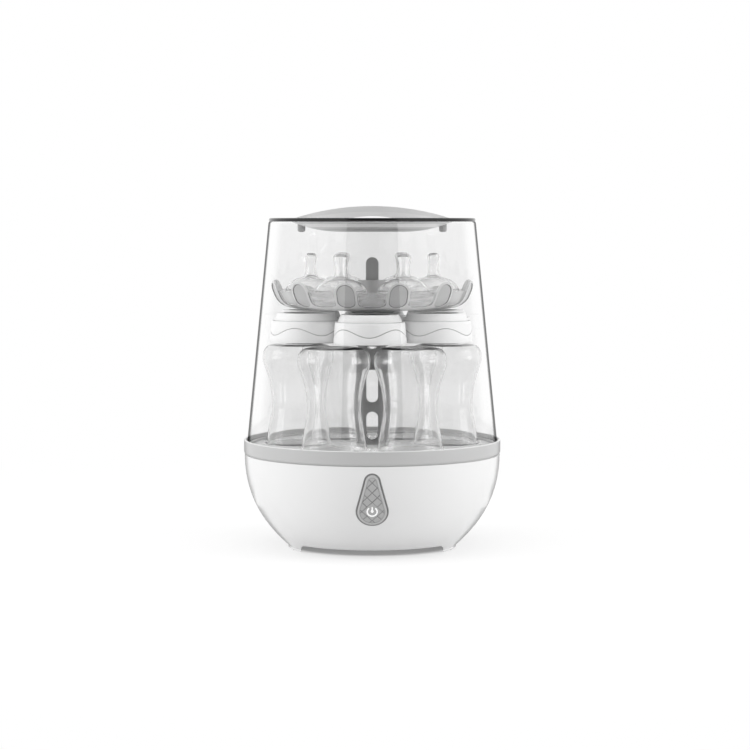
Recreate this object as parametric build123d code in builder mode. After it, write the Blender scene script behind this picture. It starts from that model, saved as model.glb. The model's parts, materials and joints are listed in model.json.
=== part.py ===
from build123d import *

import math
import os

os.makedirs("parts", exist_ok=True)

# Electric steam sterilizer for six feeding bottles, with its load in place.
# Millimetres, +Z up, the floor at Z = 0, the power button on the -Y side.
# The load sets the racks, the racks set the clear cover, and the cover sets the base.

# Load: bottles mouth down, their screw collars and their teats
place_count = 6
place_gap = 2.5
bottle_radius = 34.5
bottle_waist = 25.7
bottle_shoulder = 32.4
bottle_neck = 24.5
bottle_neck_length = 15.0
bottle_wall = 1.8
bottle_heel = 9.0
bottle_stand = 98.8
waist_place = 0.3775
belly_drop = 17.5
collar_radius = 34.75
collar_height = 27.4
collar_wall = 2.0
collar_bore = 20.5
collar_draft = 1.6
collar_step = 2.7
collar_cone = 7.2
teat_foot = 11.0
teat_skirt = 19.0
teat_skirt_rise = 8.0
teat_dome = 27.0
teat_dome_rise = 12.5
teat_band = 3.0
teat_crown = 29.0
teat_height = 51.9
teat_gap = 5.5
nipple_neck = 5.8
nipple_radius = 7.0
nipple_length = 13.5
nipple_tip = 4.0

# Bowl of the base
rim_proud = 0.7
bowl_top = 91.4
bowl_wall = 2.6
bowl_flank = 44.5
belly_tuck = 21.8
belly_rise = 21.0
foot_tuck = 42.3
foot_corner = 2.6
foot_width = 8.4
pad_proud = 0.6
pad_radius = 3.5
pad_recess = 1.2
pad_spread = 20.0
notch_margin = 14.0
notch_height = 8.5
notch_corner = 4.0
ledge_width = 11.0
ledge_wall = 2.6
ledge_reach = 16.0
pocket_width = 3.0
pocket_depth = 3.5
cover_sheet = 2.0
sheet_gap = 0.3
air_slot_length = 46.0
air_slot_width = 4.0
air_slot_pitch = 12.0
air_slot_count = 5
screw_radius = 1.3
screw_head = 2.8
screw_head_height = 1.8
screw_length = 8.0

# Rim ring and the seat of the cover
rim_height = 14.3
rim_edge = 0.7
lip_wall = 2.2
seat_depth = 4.0
seat_width = 5.2
rim_web = 2.6
rim_chamfer = 2.3
rim_tuck = 1.8
rim_inset = 0.8

# Water basin and heater
rack_sink = 2.0
flange_thickness = 2.8
flange_gap = 1.2
basin_depth = 25.0
basin_flange = 5.0
basin_draft = 19.1
basin_fall = 1.0
basin_wall = 2.2
basin_hole = 43.0
plate_margin = 0.6
plate_thickness = 1.6
seal_thickness = 1.6
seal_width = 4.5
seal_inset = 0.4
clamp_thickness = 1.6
clamp_width = 7.0
clamp_reach = 8.5
clamp_count = 3
ear_radius = 4.0
clamp_screw_radius = 1.4
clamp_screw_head = 2.8
clamp_head_height = 2.0
clamp_screw_length = 5.0
element_radius = 30.0
element_section = 6.0
element_gap = 80.0
terminal_radius = 1.6
terminal_length = 9.0
thermostat_radius = 8.0
thermostat_height = 5.0
thermostat_flange = 2.5
thermostat_sheet = 1.2
blade_width = 4.8
blade_sheet = 0.8
blade_length = 7.0
fuse_radius = 2.0
fuse_length = 11.0
fuse_gap = 7.0

# Power button and electronics
button_place = 0.2825
button_low_radius = 13.9
button_high_radius = 6.4
button_pitch = 29.6
button_gap = 0.4
button_proud = 0.5
button_depth = 5.5
button_travel = 1.2
button_boss_radius = 3.2
button_boss_length = 3.0
bezel_wall = 1.1
bezel_sink = 0.3
crown_room = 8.0
board_width = 52.0
board_height = 32.0
board_thickness = 1.6
board_depth = 17.5
board_drop = 13.0
board_boss_radius = 3.2
board_boss_spread = 21.5
board_screw_radius = 1.2
board_screw_head = 2.5
board_screw_length = 7.0
switch_size = 8.0
switch_height = 5.0
stem_radius = 1.6
stem_clearance = 0.4
stem_rest = 0.6
lamp_radius = 2.5
lamp_height = 4.5

# Mains inlet and terminal block
gland_place = 0.59
gland_bore = 3.3
gland_body = 5.2
gland_collar = 0.6
gland_flange = 8.2
gland_flange_thickness = 2.4
gland_pad = 1.2
gland_pad_proud = 1.0
gland_snout = 11.0
gland_taper = 6.0
gland_inside = 4.5
nut_thickness = 2.6
block_length = 24.0
block_depth = 9.0
block_height = 10.0
block_offset = 7.0
wire_pitch = 7.0
wire_radius = 2.0
wire_depth = 3.0

# Bottle rack and posts
lift_gap = 0.5
rack_thickness = 2.6
seat_lift = 0.6
seat_ring_gap = 0.8
seat_ring_wall = 1.4
seat_ring_height = 1.6
rack_slot_length = 18.0
rack_slot_width = 5.0
rack_slot_offset = 24.0
rack_hole = 3.5
rack_hole_offset = 40.0
post_width = 27.2
post_depth = 17.0
post_wall = 2.6
seam_drop = 23.4
window_width = 11.4
window_length = 34.3
window_margin = 4.5
window_bridge = 7.8
window_foot = 4.0
high_window_rise = 13.7
high_window_head = 5.0
spigot_length = 6.0
post_screw_radius = 1.6
post_screw_head = 3.4
post_screw_head_height = 2.2
tab_width = 12.4
tab_depth = 8.0
tab_length = 54.3
tab_panel = 22.0
tab_border = 2.2
tab_recess = 0.8
tab_panel_drop = 14.0

# Collar rack
collar_rack_gap = 1.9
collar_rack_thickness = 2.0
collar_rack_hub = 9.0
arm_width = 16.0
peg_radius = 13.0
peg_height = 5.0
peg_wall = 2.0
peg_pad = 2.0
peg_ledge = 4.0

# Teat tray
tray_gap = 2.8
tray_room = 13.0
tray_thickness = 1.8
tray_wall_height = 17.4
tray_height = 27.6
tray_flare = 27.5
petal_count = 12
petal_width = 21.8
petal_depth = 10.0
petal_wall = 2.0
petal_border = 2.2
petal_recess = 0.8
petal_flank = 14.2
petal_belly = 9.5
petal_toe = 29.5
petal_lift = 0.7
petal_shift = 2.0
wall_setback = 5.9
wall_lean = 11.6
wall_toe = 4.6
hub_radius = 14.0
hub_neck = 18.0
hub_foot = 22.0
hub_height = 27.5
hub_drop = 4.6
hub_chamfer = 2.0
hub_clearance = 0.4
tray_steam_hole = 7.0

# Cover and handle
cover_room = 2.82
cover_gap = 0.9
cover_slope = 0.1006
cover_wall = 2.2
cover_plate = 2.4
cover_edge = 1.4
headroom = 20.7
dish_margin = 20.2
dish_depth = 10.4
dish_wall = 2.0
dish_flange = 4.0
dish_rim = 1.0
dish_flat = 25.0
dish_lip = 3.5
handle_rise = 14.3
handle_width = 28.0
cap_thickness = 5.4
cap_toe = 8.0
bridge_thickness = 4.3
bridge_toe = 24.0
bridge_half_gap = 27.3
bridge_gap_drop = 3.2
pin_inset = 11.4
pin_radius = 3.75
pin_proud = 0.3
pin_round = 2.2
pin_head = 1.0
vent_radius = 2.0
vent_place = 34.0

# Heights that follow, from the rim up through the three tiers to the handle
rim_top = bowl_top + rim_height
seat_top = rim_top - seat_depth
rack_floor = seat_top - rack_sink
flange_top = rack_floor - rack_thickness
flange_under = flange_top - flange_thickness
basin_floor = flange_top - basin_depth
plate_top = basin_floor - basin_wall - seal_thickness
plate_under = plate_top - plate_thickness
bottle_base = rack_floor + bottle_stand
belly_height = bottle_base - belly_drop
waist_height = rack_floor + waist_place * bottle_stand
neck_top = rack_floor + seat_lift + bottle_neck - bottle_shoulder
mouth = neck_top - bottle_neck_length
collar_rack_top = bottle_base + collar_rack_gap + collar_rack_thickness
collar_top = collar_rack_top + collar_height
collar_shelf = collar_top - collar_cone
lower_post_top = collar_rack_top - seam_drop
window_top = lower_post_top - window_margin
low_window_top = window_top - window_length - window_bridge
low_window_foot = rack_floor + window_foot
high_window_foot = lower_post_top + high_window_rise
tray_floor = collar_top + tray_gap
tray_floor_top = tray_floor + tray_thickness
tray_wall_top = tray_floor + tray_wall_height
tray_rim_top = tray_floor + tray_height
shoulder_top = tray_floor - hub_drop
tab_top = shoulder_top + tab_length
teat_top = tray_floor_top + teat_height
dish_under = teat_top + headroom
cover_top = dish_under + dish_depth
dish_top = cover_top + dish_rim
handle_peak = cover_top + handle_rise
split_peak = handle_peak - cap_thickness
gap_peak = split_peak - bridge_thickness

# Radii that follow: the load's circles, the cover that clears them, then the rim ring and the bowl
seat_ring_radius = bottle_shoulder + seat_ring_gap + seat_ring_wall
place_circle = 2 * max(bottle_radius, collar_radius, seat_ring_radius) + place_gap
teat_circle = 2 * teat_dome + teat_gap
tray_radius = teat_circle + teat_dome + tray_room
tray_heel = tray_radius - tray_flare
wall_head = tray_radius - wall_setback
wall_foot = wall_head - wall_lean
cover_reach = max(
    place_circle + collar_radius + cover_slope * (collar_rack_top - seat_top),
    place_circle + bottle_radius + cover_slope * (bottle_base - seat_top),
    tray_radius + cover_slope * (tray_rim_top - seat_top),
)
cover_foot_radius = cover_reach + cover_room + cover_wall
cover_top_radius = cover_foot_radius - cover_slope * (cover_top - seat_top)
dish_radius = cover_top_radius - dish_margin
pin_spread = dish_radius - pin_inset
gap_reach = dish_radius - bridge_toe
gap_radius = (bridge_half_gap**2 + bridge_gap_drop**2) / (2 * bridge_gap_drop)
gap_foot = gap_peak - gap_radius + math.sqrt(gap_radius**2 - gap_reach**2)
lip_radius = cover_foot_radius + cover_gap
body_radius = lip_radius + lip_wall
rim_bore = lip_radius - seat_width
rack_radius = rim_bore - lift_gap
flange_radius = lip_radius - flange_gap
basin_side = rim_bore - basin_draft
plate_radius = basin_hole + seal_inset + seal_width + plate_margin
clamp_screw_circle = plate_radius + clamp_reach
bowl_radius = body_radius - rim_proud
belly_radius = bowl_radius - belly_tuck
foot_radius = bowl_radius - foot_tuck
foot_inner = foot_radius - foot_width
pad_circle = foot_radius - foot_width / 2
notch_width = 2 * (foot_radius - notch_margin)
ledge_inner = foot_inner - ledge_width
screw_circle = (foot_inner + ledge_inner) / 2
ledge_under = notch_height + cover_sheet
ledge_top = ledge_under + ledge_wall
petal_foot = tray_floor + petal_lift
wall_foot_height = tray_floor + wall_toe

# Curve of the bowl's side, radius against height, from the rim to the foot
bowl_side = Bezier(
    (bowl_radius, bowl_top),
    (bowl_radius, bowl_top - bowl_flank),
    (belly_radius, belly_rise),
    (foot_radius, foot_corner),
)


def wall_plane(place, side):
    """Plane that touches the bowl's side at a share of its curve, at the front (-1) or the back (1)."""
    spot = bowl_side.position_at(place)
    run = bowl_side.tangent_at(place)
    return Plane(
        origin=(0, side * spot.X, spot.Y),
        x_dir=(-side, 0, 0),
        z_dir=(0, -side * run.Y, run.X),
    )


def inside_bowl(place, depth):
    """Radius and height of a point under the bowl's side, at a share of its curve."""
    spot = bowl_side.position_at(place)
    run = bowl_side.tangent_at(place)
    return (spot.X + depth * run.Y, spot.Y - depth * run.X)


def section(*outline):
    """Flat face of a round piece, from radius and height points."""
    with BuildSketch(Plane.XZ) as flat:
        with BuildLine():
            Polyline(*outline, close=True)
        make_face()
    return flat.sketch


def teardrop(plane, grow):
    """Outline of the button on a plane, grown by a clearance."""
    with BuildSketch(plane) as drop:
        with Locations((0, -button_pitch / 2)):
            Circle(button_low_radius + grow)
        with Locations((0, button_pitch / 2)):
            Circle(button_high_radius + grow)
        make_hull()
    return drop.sketch


def bowl_core(grow):
    """Solid inside the bowl's side, grown outwards, that trims what lies flush with it."""
    with BuildPart() as core:
        with BuildSketch(Plane.XZ):
            with BuildLine():
                Bezier(
                    (bowl_radius + grow, bowl_top),
                    (bowl_radius + grow, bowl_top - bowl_flank),
                    (belly_radius + grow, belly_rise),
                    (foot_radius + grow, foot_corner),
                )
                Polyline(
                    (foot_radius + grow, foot_corner),
                    (0, foot_corner),
                    (0, bowl_top),
                    (bowl_radius + grow, bowl_top),
                )
            make_face()
        revolve(axis=Axis.Z)
    return core.part


front = wall_plane(button_place, -1)
back = wall_plane(gland_place, 1)
boss_places = [(-board_boss_spread, -board_drop), (board_boss_spread, -board_drop)]
pad_places = [
    (pad_circle * math.cos(math.radians(angle)), pad_circle * math.sin(math.radians(angle)))
    for angle in (-pad_spread, pad_spread, 180 - pad_spread, 180 + pad_spread)
]

# Bosses for the control board, up to the middle of the bowl's wall
with BuildPart() as board_bosses:
    with BuildSketch(front.offset(-board_depth)):
        with Locations(boss_places):
            Circle(board_boss_radius)
            Circle(board_screw_radius, mode=Mode.SUBTRACT)
    extrude(amount=board_depth)
    add(bowl_core(-bowl_wall / 2), mode=Mode.INTERSECT)

# Bowl: a white shell with its foot ring, the notches at front and back, the button's hole and the bosses
with BuildPart() as base_bowl:
    with BuildSketch(Plane.XZ):
        with BuildLine():
            Bezier(
                (bowl_radius, bowl_top),
                (bowl_radius, bowl_top - bowl_flank),
                (belly_radius, belly_rise),
                (foot_radius, foot_corner),
            )
            Polyline(
                (foot_radius, foot_corner),
                (foot_radius, pad_proud),
                (foot_inner, pad_proud),
                (foot_inner, ledge_under),
                (ledge_inner, ledge_under),
                (ledge_inner, ledge_top),
                (belly_radius - ledge_reach, ledge_top),
                inside_bowl(0.72, bowl_wall),
                inside_bowl(0.48, bowl_wall),
                inside_bowl(0.26, bowl_wall),
                inside_bowl(0.08, bowl_wall),
                (flange_radius - pocket_width, bowl_top - pocket_depth),
                (flange_radius - pocket_width, flange_under),
                (flange_radius, flange_under),
                (flange_radius, bowl_top),
                (bowl_radius, bowl_top),
            )
        make_face()
    revolve(axis=Axis.Z)
    with BuildSketch(Plane.XZ) as notch:
        Rectangle(notch_width, 2 * notch_height)
        fillet(notch.vertices(), notch_corner)
    extrude(amount=body_radius, both=True, mode=Mode.SUBTRACT)
    extrude(
        teardrop(front.offset(-button_depth - crown_room), button_gap + bezel_wall),
        amount=button_depth + 2 * crown_room,
        mode=Mode.SUBTRACT,
    )
    add(board_bosses.part)
    with BuildSketch(back.offset(-bowl_wall - gland_pad)):
        Circle(gland_flange + gland_pad)
    extrude(amount=bowl_wall + gland_pad + gland_pad_proud)
    with BuildSketch(back):
        Circle(gland_body)
    extrude(amount=gland_snout, both=True, mode=Mode.SUBTRACT)
    with BuildSketch(Plane.XY.offset(pad_proud)):
        with Locations(pad_places):
            Circle(pad_radius)
    extrude(amount=pad_recess, mode=Mode.SUBTRACT)
    with BuildSketch(Plane.XY.offset(ledge_under)):
        with PolarLocations(screw_circle, 4, 45):
            Circle(screw_radius)
    extrude(amount=ledge_wall, mode=Mode.SUBTRACT)
base_bowl.part.label = "base_bowl"
export_step(base_bowl.part, "parts/base_bowl.step")

# Four rubber pads let into the feet
with BuildPart() as foot_pads:
    with BuildSketch():
        with Locations(pad_places):
            Circle(pad_radius)
    extrude(amount=pad_proud + pad_recess)
foot_pads.part.label = "foot_pads"
export_step(foot_pads.part, "parts/foot_pads.step")

# Bottom cover, let in above the notches, with rows of air slots
with BuildPart() as bottom_cover:
    with BuildSketch(Plane.XY.offset(notch_height)):
        Circle(foot_inner - sheet_gap)
        with PolarLocations(screw_circle, 4, 45):
            Circle(screw_radius + sheet_gap, mode=Mode.SUBTRACT)
        with GridLocations(0, air_slot_pitch, 1, air_slot_count):
            SlotOverall(air_slot_length, air_slot_width, mode=Mode.SUBTRACT)
    extrude(amount=cover_sheet)
bottom_cover.part.label = "bottom_cover"
export_step(bottom_cover.part, "parts/bottom_cover.step")

# Four screws that hold the bottom cover to the bowl's ledge
with BuildPart() as bottom_screws:
    with BuildSketch(Plane.XY.offset(notch_height)):
        with PolarLocations(screw_circle, 4, 45):
            Circle(screw_head)
    extrude(amount=-screw_head_height)
    with BuildSketch(Plane.XY.offset(notch_height)):
        with PolarLocations(screw_circle, 4, 45):
            Circle(screw_radius)
    extrude(amount=screw_length)
bottom_screws.part.label = "bottom_screws"
export_step(bottom_screws.part, "parts/bottom_screws.step")

# Grey ring round the bowl's mouth: a low lip outside, a seat for the cover inside
with BuildPart() as rim_ring:
    revolve(
        section(
            (body_radius - rim_tuck, bowl_top),
            (body_radius, bowl_top + rim_chamfer),
            (body_radius, rim_top - rim_edge),
            (body_radius - rim_edge, rim_top),
            (lip_radius, rim_top),
            (lip_radius, seat_top),
            (rim_bore, seat_top),
            (rim_bore, flange_top),
            (rim_bore + lip_wall, flange_top),
            (rim_bore + lip_wall, seat_top - rim_web),
            (lip_radius - rim_inset, seat_top - rim_web),
            (lip_radius - rim_inset, bowl_top),
        ),
        axis=Axis.Z,
    )
rim_ring.part.label = "rim_ring"
export_step(rim_ring.part, "parts/rim_ring.step")

# Water basin: the flange is held under the rim ring, the floor falls to the hole over the heating plate
with BuildPart() as water_basin:
    revolve(
        section(
            (flange_radius, flange_under),
            (flange_radius, flange_top),
            (rim_bore - basin_flange, flange_top),
            (basin_side, basin_floor + basin_fall),
            (basin_hole, basin_floor),
            (basin_hole, basin_floor - basin_wall),
            (basin_side + basin_wall / 2, basin_floor - basin_wall + basin_fall),
            (rim_bore - basin_flange + basin_wall / 2, flange_under),
        ),
        axis=Axis.Z,
    )
    with BuildSketch(Plane.XY.offset(plate_under)):
        with PolarLocations(clamp_screw_circle, clamp_count, 90):
            Circle(ear_radius)
    extrude(amount=basin_floor - basin_wall / 2 - plate_under)
    with BuildSketch(Plane.XY.offset(plate_under)):
        with PolarLocations(clamp_screw_circle, clamp_count, 90):
            Circle(clamp_screw_radius)
    extrude(amount=clamp_screw_length - clamp_thickness, mode=Mode.SUBTRACT)
water_basin.part.label = "water_basin"
export_step(water_basin.part, "parts/water_basin.step")

# Silicone ring between the basin and the heating plate
with BuildPart() as plate_seal:
    with BuildSketch(Plane.XY.offset(plate_top)):
        Circle(basin_hole + seal_inset + seal_width)
        Circle(basin_hole + seal_inset, mode=Mode.SUBTRACT)
    extrude(amount=seal_thickness)
plate_seal.part.label = "plate_seal"
export_step(plate_seal.part, "parts/plate_seal.step")

# Heating plate, the floor of the water's hollow
with BuildPart() as heating_plate:
    with BuildSketch(Plane.XY.offset(plate_under)):
        Circle(plate_radius)
    extrude(amount=plate_thickness)
heating_plate.part.label = "heating_plate"
export_step(heating_plate.part, "parts/heating_plate.step")

# Steel ring with three ears that clamps the plate against the basin
with BuildPart() as clamp_ring:
    with BuildSketch(Plane.XY.offset(plate_under)):
        Circle(plate_radius)
        with PolarLocations(clamp_screw_circle, clamp_count, 90):
            Circle(ear_radius)
        with PolarLocations(clamp_screw_circle - clamp_reach / 2, clamp_count, 90):
            Rectangle(clamp_reach + clamp_width / 2, 2 * ear_radius)
        Circle(plate_radius - clamp_width, mode=Mode.SUBTRACT)
        with PolarLocations(clamp_screw_circle, clamp_count, 90):
            Circle(clamp_screw_radius, mode=Mode.SUBTRACT)
    extrude(amount=-clamp_thickness)
clamp_ring.part.label = "clamp_ring"
export_step(clamp_ring.part, "parts/clamp_ring.step")

# Three screws through the clamp ring's ears
with BuildPart() as clamp_screws:
    with BuildSketch(Plane.XY.offset(plate_under - clamp_thickness)):
        with PolarLocations(clamp_screw_circle, clamp_count, 90):
            Circle(clamp_screw_head)
    extrude(amount=-clamp_head_height)
    with BuildSketch(Plane.XY.offset(plate_under - clamp_thickness)):
        with PolarLocations(clamp_screw_circle, clamp_count, 90):
            Circle(clamp_screw_radius)
    extrude(amount=clamp_screw_length)
clamp_screws.part.label = "clamp_screws"
export_step(clamp_screws.part, "parts/clamp_screws.step")

# Heating element: a flat-sided loop under the plate, its two cold ends turned down at the back
with BuildPart() as heating_element:
    with BuildSketch(Plane.XY.offset(plate_under)):
        Circle(element_radius + element_section / 2)
        Circle(element_radius - element_section / 2, mode=Mode.SUBTRACT)
        Polygon(
            (0, 0),
            (element_radius * 1.4, element_radius * 2),
            (-element_radius * 1.4, element_radius * 2),
            align=None,
            mode=Mode.SUBTRACT,
        )
    extrude(amount=-element_section)
    with BuildSketch(Plane.XY.offset(plate_under - element_section)):
        with PolarLocations(element_radius, 2, 90 - element_gap / 2, element_gap, endpoint=True):
            Circle(terminal_radius)
    extrude(amount=-terminal_length)
heating_element.part.label = "heating_element"
export_step(heating_element.part, "parts/heating_element.step")

# Thermostat disc under the middle of the plate, with its two blades
with BuildPart() as thermostat:
    with BuildSketch(Plane.XY.offset(plate_under)):
        Circle(thermostat_radius + thermostat_flange)
    extrude(amount=-thermostat_sheet)
    with BuildSketch(Plane.XY.offset(plate_under - thermostat_sheet)):
        Circle(thermostat_radius)
    extrude(amount=-thermostat_height)
    with BuildSketch(Plane.XY.offset(plate_under - thermostat_sheet - thermostat_height)):
        with GridLocations(thermostat_radius, 0, 2, 1):
            Rectangle(blade_sheet, blade_width)
    extrude(amount=-blade_length)
thermostat.part.label = "thermostat"
export_step(thermostat.part, "parts/thermostat.step")

# Thermal fuse in its clip, against the plate beside the thermostat
with BuildPart() as thermal_fuse:
    with BuildSketch(Plane.YZ.offset(-fuse_length / 2)):
        with Locations((thermostat_radius + fuse_gap + fuse_radius, plate_under - fuse_radius)):
            Circle(fuse_radius)
    extrude(amount=fuse_length)
thermal_fuse.part.label = "thermal_fuse"
export_step(thermal_fuse.part, "parts/thermal_fuse.step")

# Button: a teardrop crowned like the bowl round it, with a boss behind that pushes the switch stem
with BuildPart() as power_button:
    extrude(teardrop(front.offset(-button_depth), 0), amount=button_depth + crown_room)
    add(bowl_core(button_proud), mode=Mode.INTERSECT)
    with BuildSketch(front.offset(-button_depth)):
        with Locations((0, -board_drop)):
            Circle(button_boss_radius)
    extrude(amount=-button_boss_length)
power_button.part.label = "power_button"
export_step(power_button.part, "parts/power_button.step")

# Dark frame round the button, fitted in the bowl's hole
with BuildPart() as button_bezel:
    extrude(teardrop(front.offset(-button_depth), button_gap + bezel_wall), amount=button_depth + crown_room)
    extrude(teardrop(front.offset(-button_depth), button_gap), amount=button_depth + crown_room, mode=Mode.SUBTRACT)
    add(bowl_core(-bezel_sink), mode=Mode.INTERSECT)
button_bezel.part.label = "button_bezel"
export_step(button_bezel.part, "parts/button_bezel.step")

# Stem of the push switch, pressed by the button's boss and guided in the switch body
with BuildPart() as switch_stem:
    with BuildSketch(front.offset(-button_depth - button_boss_length)):
        with Locations((0, -board_drop)):
            Circle(stem_radius)
    extrude(amount=button_depth + button_boss_length + button_travel + stem_rest - board_depth)
switch_stem.part.label = "switch_stem"
export_step(switch_stem.part, "parts/switch_stem.step")

# Push switch body on the board
with BuildPart() as push_switch:
    with BuildSketch(front.offset(-board_depth)):
        with Locations((0, -board_drop)):
            Rectangle(switch_size, switch_size)
            Circle(stem_radius + stem_clearance, mode=Mode.SUBTRACT)
    extrude(amount=switch_height)
push_switch.part.label = "push_switch"
export_step(push_switch.part, "parts/push_switch.step")

# Control board on two bosses behind the button
with BuildPart() as control_board:
    with BuildSketch(front.offset(-board_depth)):
        with Locations((0, -board_drop)):
            Rectangle(board_width, board_height)
        with Locations(boss_places):
            Circle(board_screw_radius, mode=Mode.SUBTRACT)
    extrude(amount=-board_thickness)
control_board.part.label = "control_board"
export_step(control_board.part, "parts/control_board.step")

# Indicator lamp on the board, behind the upper half of the button
with BuildPart() as indicator_lamp:
    with BuildSketch(front.offset(-board_depth)):
        with Locations((0, board_height / 2 - board_drop - 2 * lamp_radius)):
            Circle(lamp_radius)
    extrude(amount=lamp_height)
indicator_lamp.part.label = "indicator_lamp"
export_step(indicator_lamp.part, "parts/indicator_lamp.step")

# Two screws that hold the board
with BuildPart() as board_screws:
    with BuildSketch(front.offset(-board_depth - board_thickness)):
        with Locations(boss_places):
            Circle(board_screw_head)
    extrude(amount=-screw_head_height)
    with BuildSketch(front.offset(-board_depth - board_thickness)):
        with Locations(boss_places):
            Circle(board_screw_radius)
    extrude(amount=board_screw_length)
board_screws.part.label = "board_screws"
export_step(board_screws.part, "parts/board_screws.step")

# Gland of the mains lead: outer sleeve with its flange, open bore
with BuildPart() as cord_gland:
    with BuildSketch(back.offset(gland_pad_proud)):
        Circle(gland_flange)
    extrude(amount=gland_flange_thickness)
    with BuildSketch(back.offset(-bowl_wall - gland_inside)):
        Circle(gland_body)
    extrude(amount=bowl_wall + gland_inside + gland_pad_proud)
    with BuildSketch(back.offset(gland_pad_proud + gland_flange_thickness)):
        Circle(gland_body + gland_collar)
    extrude(amount=gland_snout - gland_pad_proud - gland_flange_thickness, taper=gland_taper)
    with BuildSketch(back.offset(-bowl_wall - gland_inside)):
        Circle(gland_bore)
    extrude(amount=gland_snout + bowl_wall + gland_inside, mode=Mode.SUBTRACT)
cord_gland.part.label = "cord_gland"
export_step(cord_gland.part, "parts/cord_gland.step")

# Nut that clamps the gland from inside
with BuildPart() as gland_nut:
    with BuildSketch(back.offset(-bowl_wall - gland_pad)):
        RegularPolygon(gland_flange, 6)
        Circle(gland_body, mode=Mode.SUBTRACT)
    extrude(amount=-nut_thickness)
gland_nut.part.label = "gland_nut"
export_step(gland_nut.part, "parts/gland_nut.step")

# Terminal block on the ledge at the back
with BuildPart() as terminal_block:
    with BuildSketch(Plane.XY.offset(ledge_top)):
        with Locations((0, ledge_inner + block_offset)):
            Rectangle(block_length, block_depth)
    extrude(amount=block_height)
    with BuildSketch(Plane.XY.offset(ledge_top + block_height)):
        with Locations((0, ledge_inner + block_offset)):
            with GridLocations(wire_pitch, 0, 3, 1):
                Circle(wire_radius)
    extrude(amount=-wire_depth, mode=Mode.SUBTRACT)
terminal_block.part.label = "terminal_block"
export_step(terminal_block.part, "parts/terminal_block.step")

# Bottle rack: a round floor with six cone seats and steam slots between them
with BuildPart() as bottle_rack:
    with BuildSketch(Plane.XY.offset(flange_top)):
        Circle(rack_radius)
        with PolarLocations(place_circle + rack_slot_offset, place_count, 30):
            SlotOverall(rack_slot_length, rack_slot_width, rotation=90, mode=Mode.SUBTRACT)
        with PolarLocations(place_circle - rack_hole_offset, place_count, 30):
            Circle(rack_hole, mode=Mode.SUBTRACT)
        Circle(post_screw_radius, mode=Mode.SUBTRACT)
    extrude(amount=rack_thickness)
    with BuildSketch(Plane.XY.offset(rack_floor)):
        with PolarLocations(place_circle, place_count):
            Circle(seat_ring_radius)
            Circle(seat_ring_radius - seat_ring_wall, mode=Mode.SUBTRACT)
    extrude(amount=seat_ring_height)
    with PolarLocations(place_circle, place_count):
        with Locations((0, 0, flange_top + rack_thickness / 2)):
            Cone(
                bottle_shoulder - seat_lift - rack_thickness,
                bottle_shoulder - seat_lift,
                rack_thickness,
                mode=Mode.SUBTRACT,
            )
bottle_rack.part.label = "bottle_rack"
export_step(bottle_rack.part, "parts/bottle_rack.step")

# Lower post: an oblong tube on the rack, closed at its foot, with two windows
with BuildPart() as lower_post:
    with BuildSketch(Plane.XY.offset(rack_floor)):
        SlotOverall(post_width, post_depth)
        offset(amount=-post_wall, mode=Mode.SUBTRACT)
    extrude(amount=lower_post_top - rack_floor)
    with BuildSketch(Plane.XY.offset(rack_floor)):
        SlotOverall(post_width, post_depth)
    extrude(amount=post_wall)
    with BuildSketch(Plane.XZ):
        with Locations((0, window_top - window_length / 2)):
            SlotOverall(window_length, window_width, rotation=90)
        with Locations((0, (low_window_top + low_window_foot) / 2)):
            SlotOverall(low_window_top - low_window_foot, window_width, rotation=90)
    extrude(amount=post_depth, both=True, mode=Mode.SUBTRACT)
    with BuildSketch(Plane.XY.offset(rack_floor)):
        Circle(post_screw_radius)
    extrude(amount=post_wall, mode=Mode.SUBTRACT)
lower_post.part.label = "lower_post"
export_step(lower_post.part, "parts/lower_post.step")

# Screw that holds the lower post from under the rack
with BuildPart() as post_screw:
    with BuildSketch(Plane.XY.offset(flange_top)):
        Circle(post_screw_head)
    extrude(amount=-post_screw_head_height)
    with BuildSketch(Plane.XY.offset(flange_top)):
        Circle(post_screw_radius)
    extrude(amount=rack_thickness + post_wall)
post_screw.part.label = "post_screw"
export_step(post_screw.part, "parts/post_screw.step")


def waist_point(share, end_radius, end_height, wall):
    """Point of the bottle's waist, a share of the way from its middle to one of its ends."""
    return (
        bottle_waist + (end_radius - bottle_waist) * share**2 - wall,
        waist_height + (end_height - waist_height) * share,
    )


# One bottle, mouth down: a waisted shell whose shoulder cone sits in the rack's seat
with BuildPart() as bottle:
    revolve(
        section(
            (0, bottle_base),
            (bottle_radius - bottle_heel, bottle_base),
            (bottle_radius - bottle_heel * 0.3, bottle_base - bottle_heel * 0.3),
            (bottle_radius, bottle_base - bottle_heel),
            (bottle_radius, belly_height),
            waist_point(0.85, bottle_radius, belly_height, 0),
            waist_point(0.42, bottle_radius, belly_height, 0),
            (bottle_waist, waist_height),
            waist_point(0.5, bottle_shoulder, rack_floor, 0),
            (bottle_shoulder, rack_floor + seat_lift),
            (bottle_neck, neck_top),
            (bottle_neck, mouth),
            (bottle_neck - bottle_wall, mouth),
            (bottle_neck - bottle_wall, neck_top + bottle_wall / 2),
            (bottle_shoulder - bottle_wall, rack_floor + seat_lift + bottle_wall / 2),
            waist_point(0.5, bottle_shoulder, rack_floor, bottle_wall),
            (bottle_waist - bottle_wall, waist_height),
            waist_point(0.42, bottle_radius, belly_height, bottle_wall),
            (bottle_radius - bottle_wall, belly_height + bottle_wall / 2),
            (bottle_radius - bottle_wall, bottle_base - bottle_heel),
            (bottle_radius - bottle_heel, bottle_base - bottle_wall),
            (0, bottle_base - bottle_wall),
        ),
        axis=Axis.Z,
    )

# Six bottles standing in the rack, each a piece of its own
for number, location in enumerate(PolarLocations(place_circle, place_count, rotate=False), start=1):
    with BuildPart() as placed_bottle:
        with Locations(location):
            add(bottle.part)
    placed_bottle.part.label = f"bottle_{number}"
    export_step(placed_bottle.part, f"parts/bottle_{number}.step")

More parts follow.
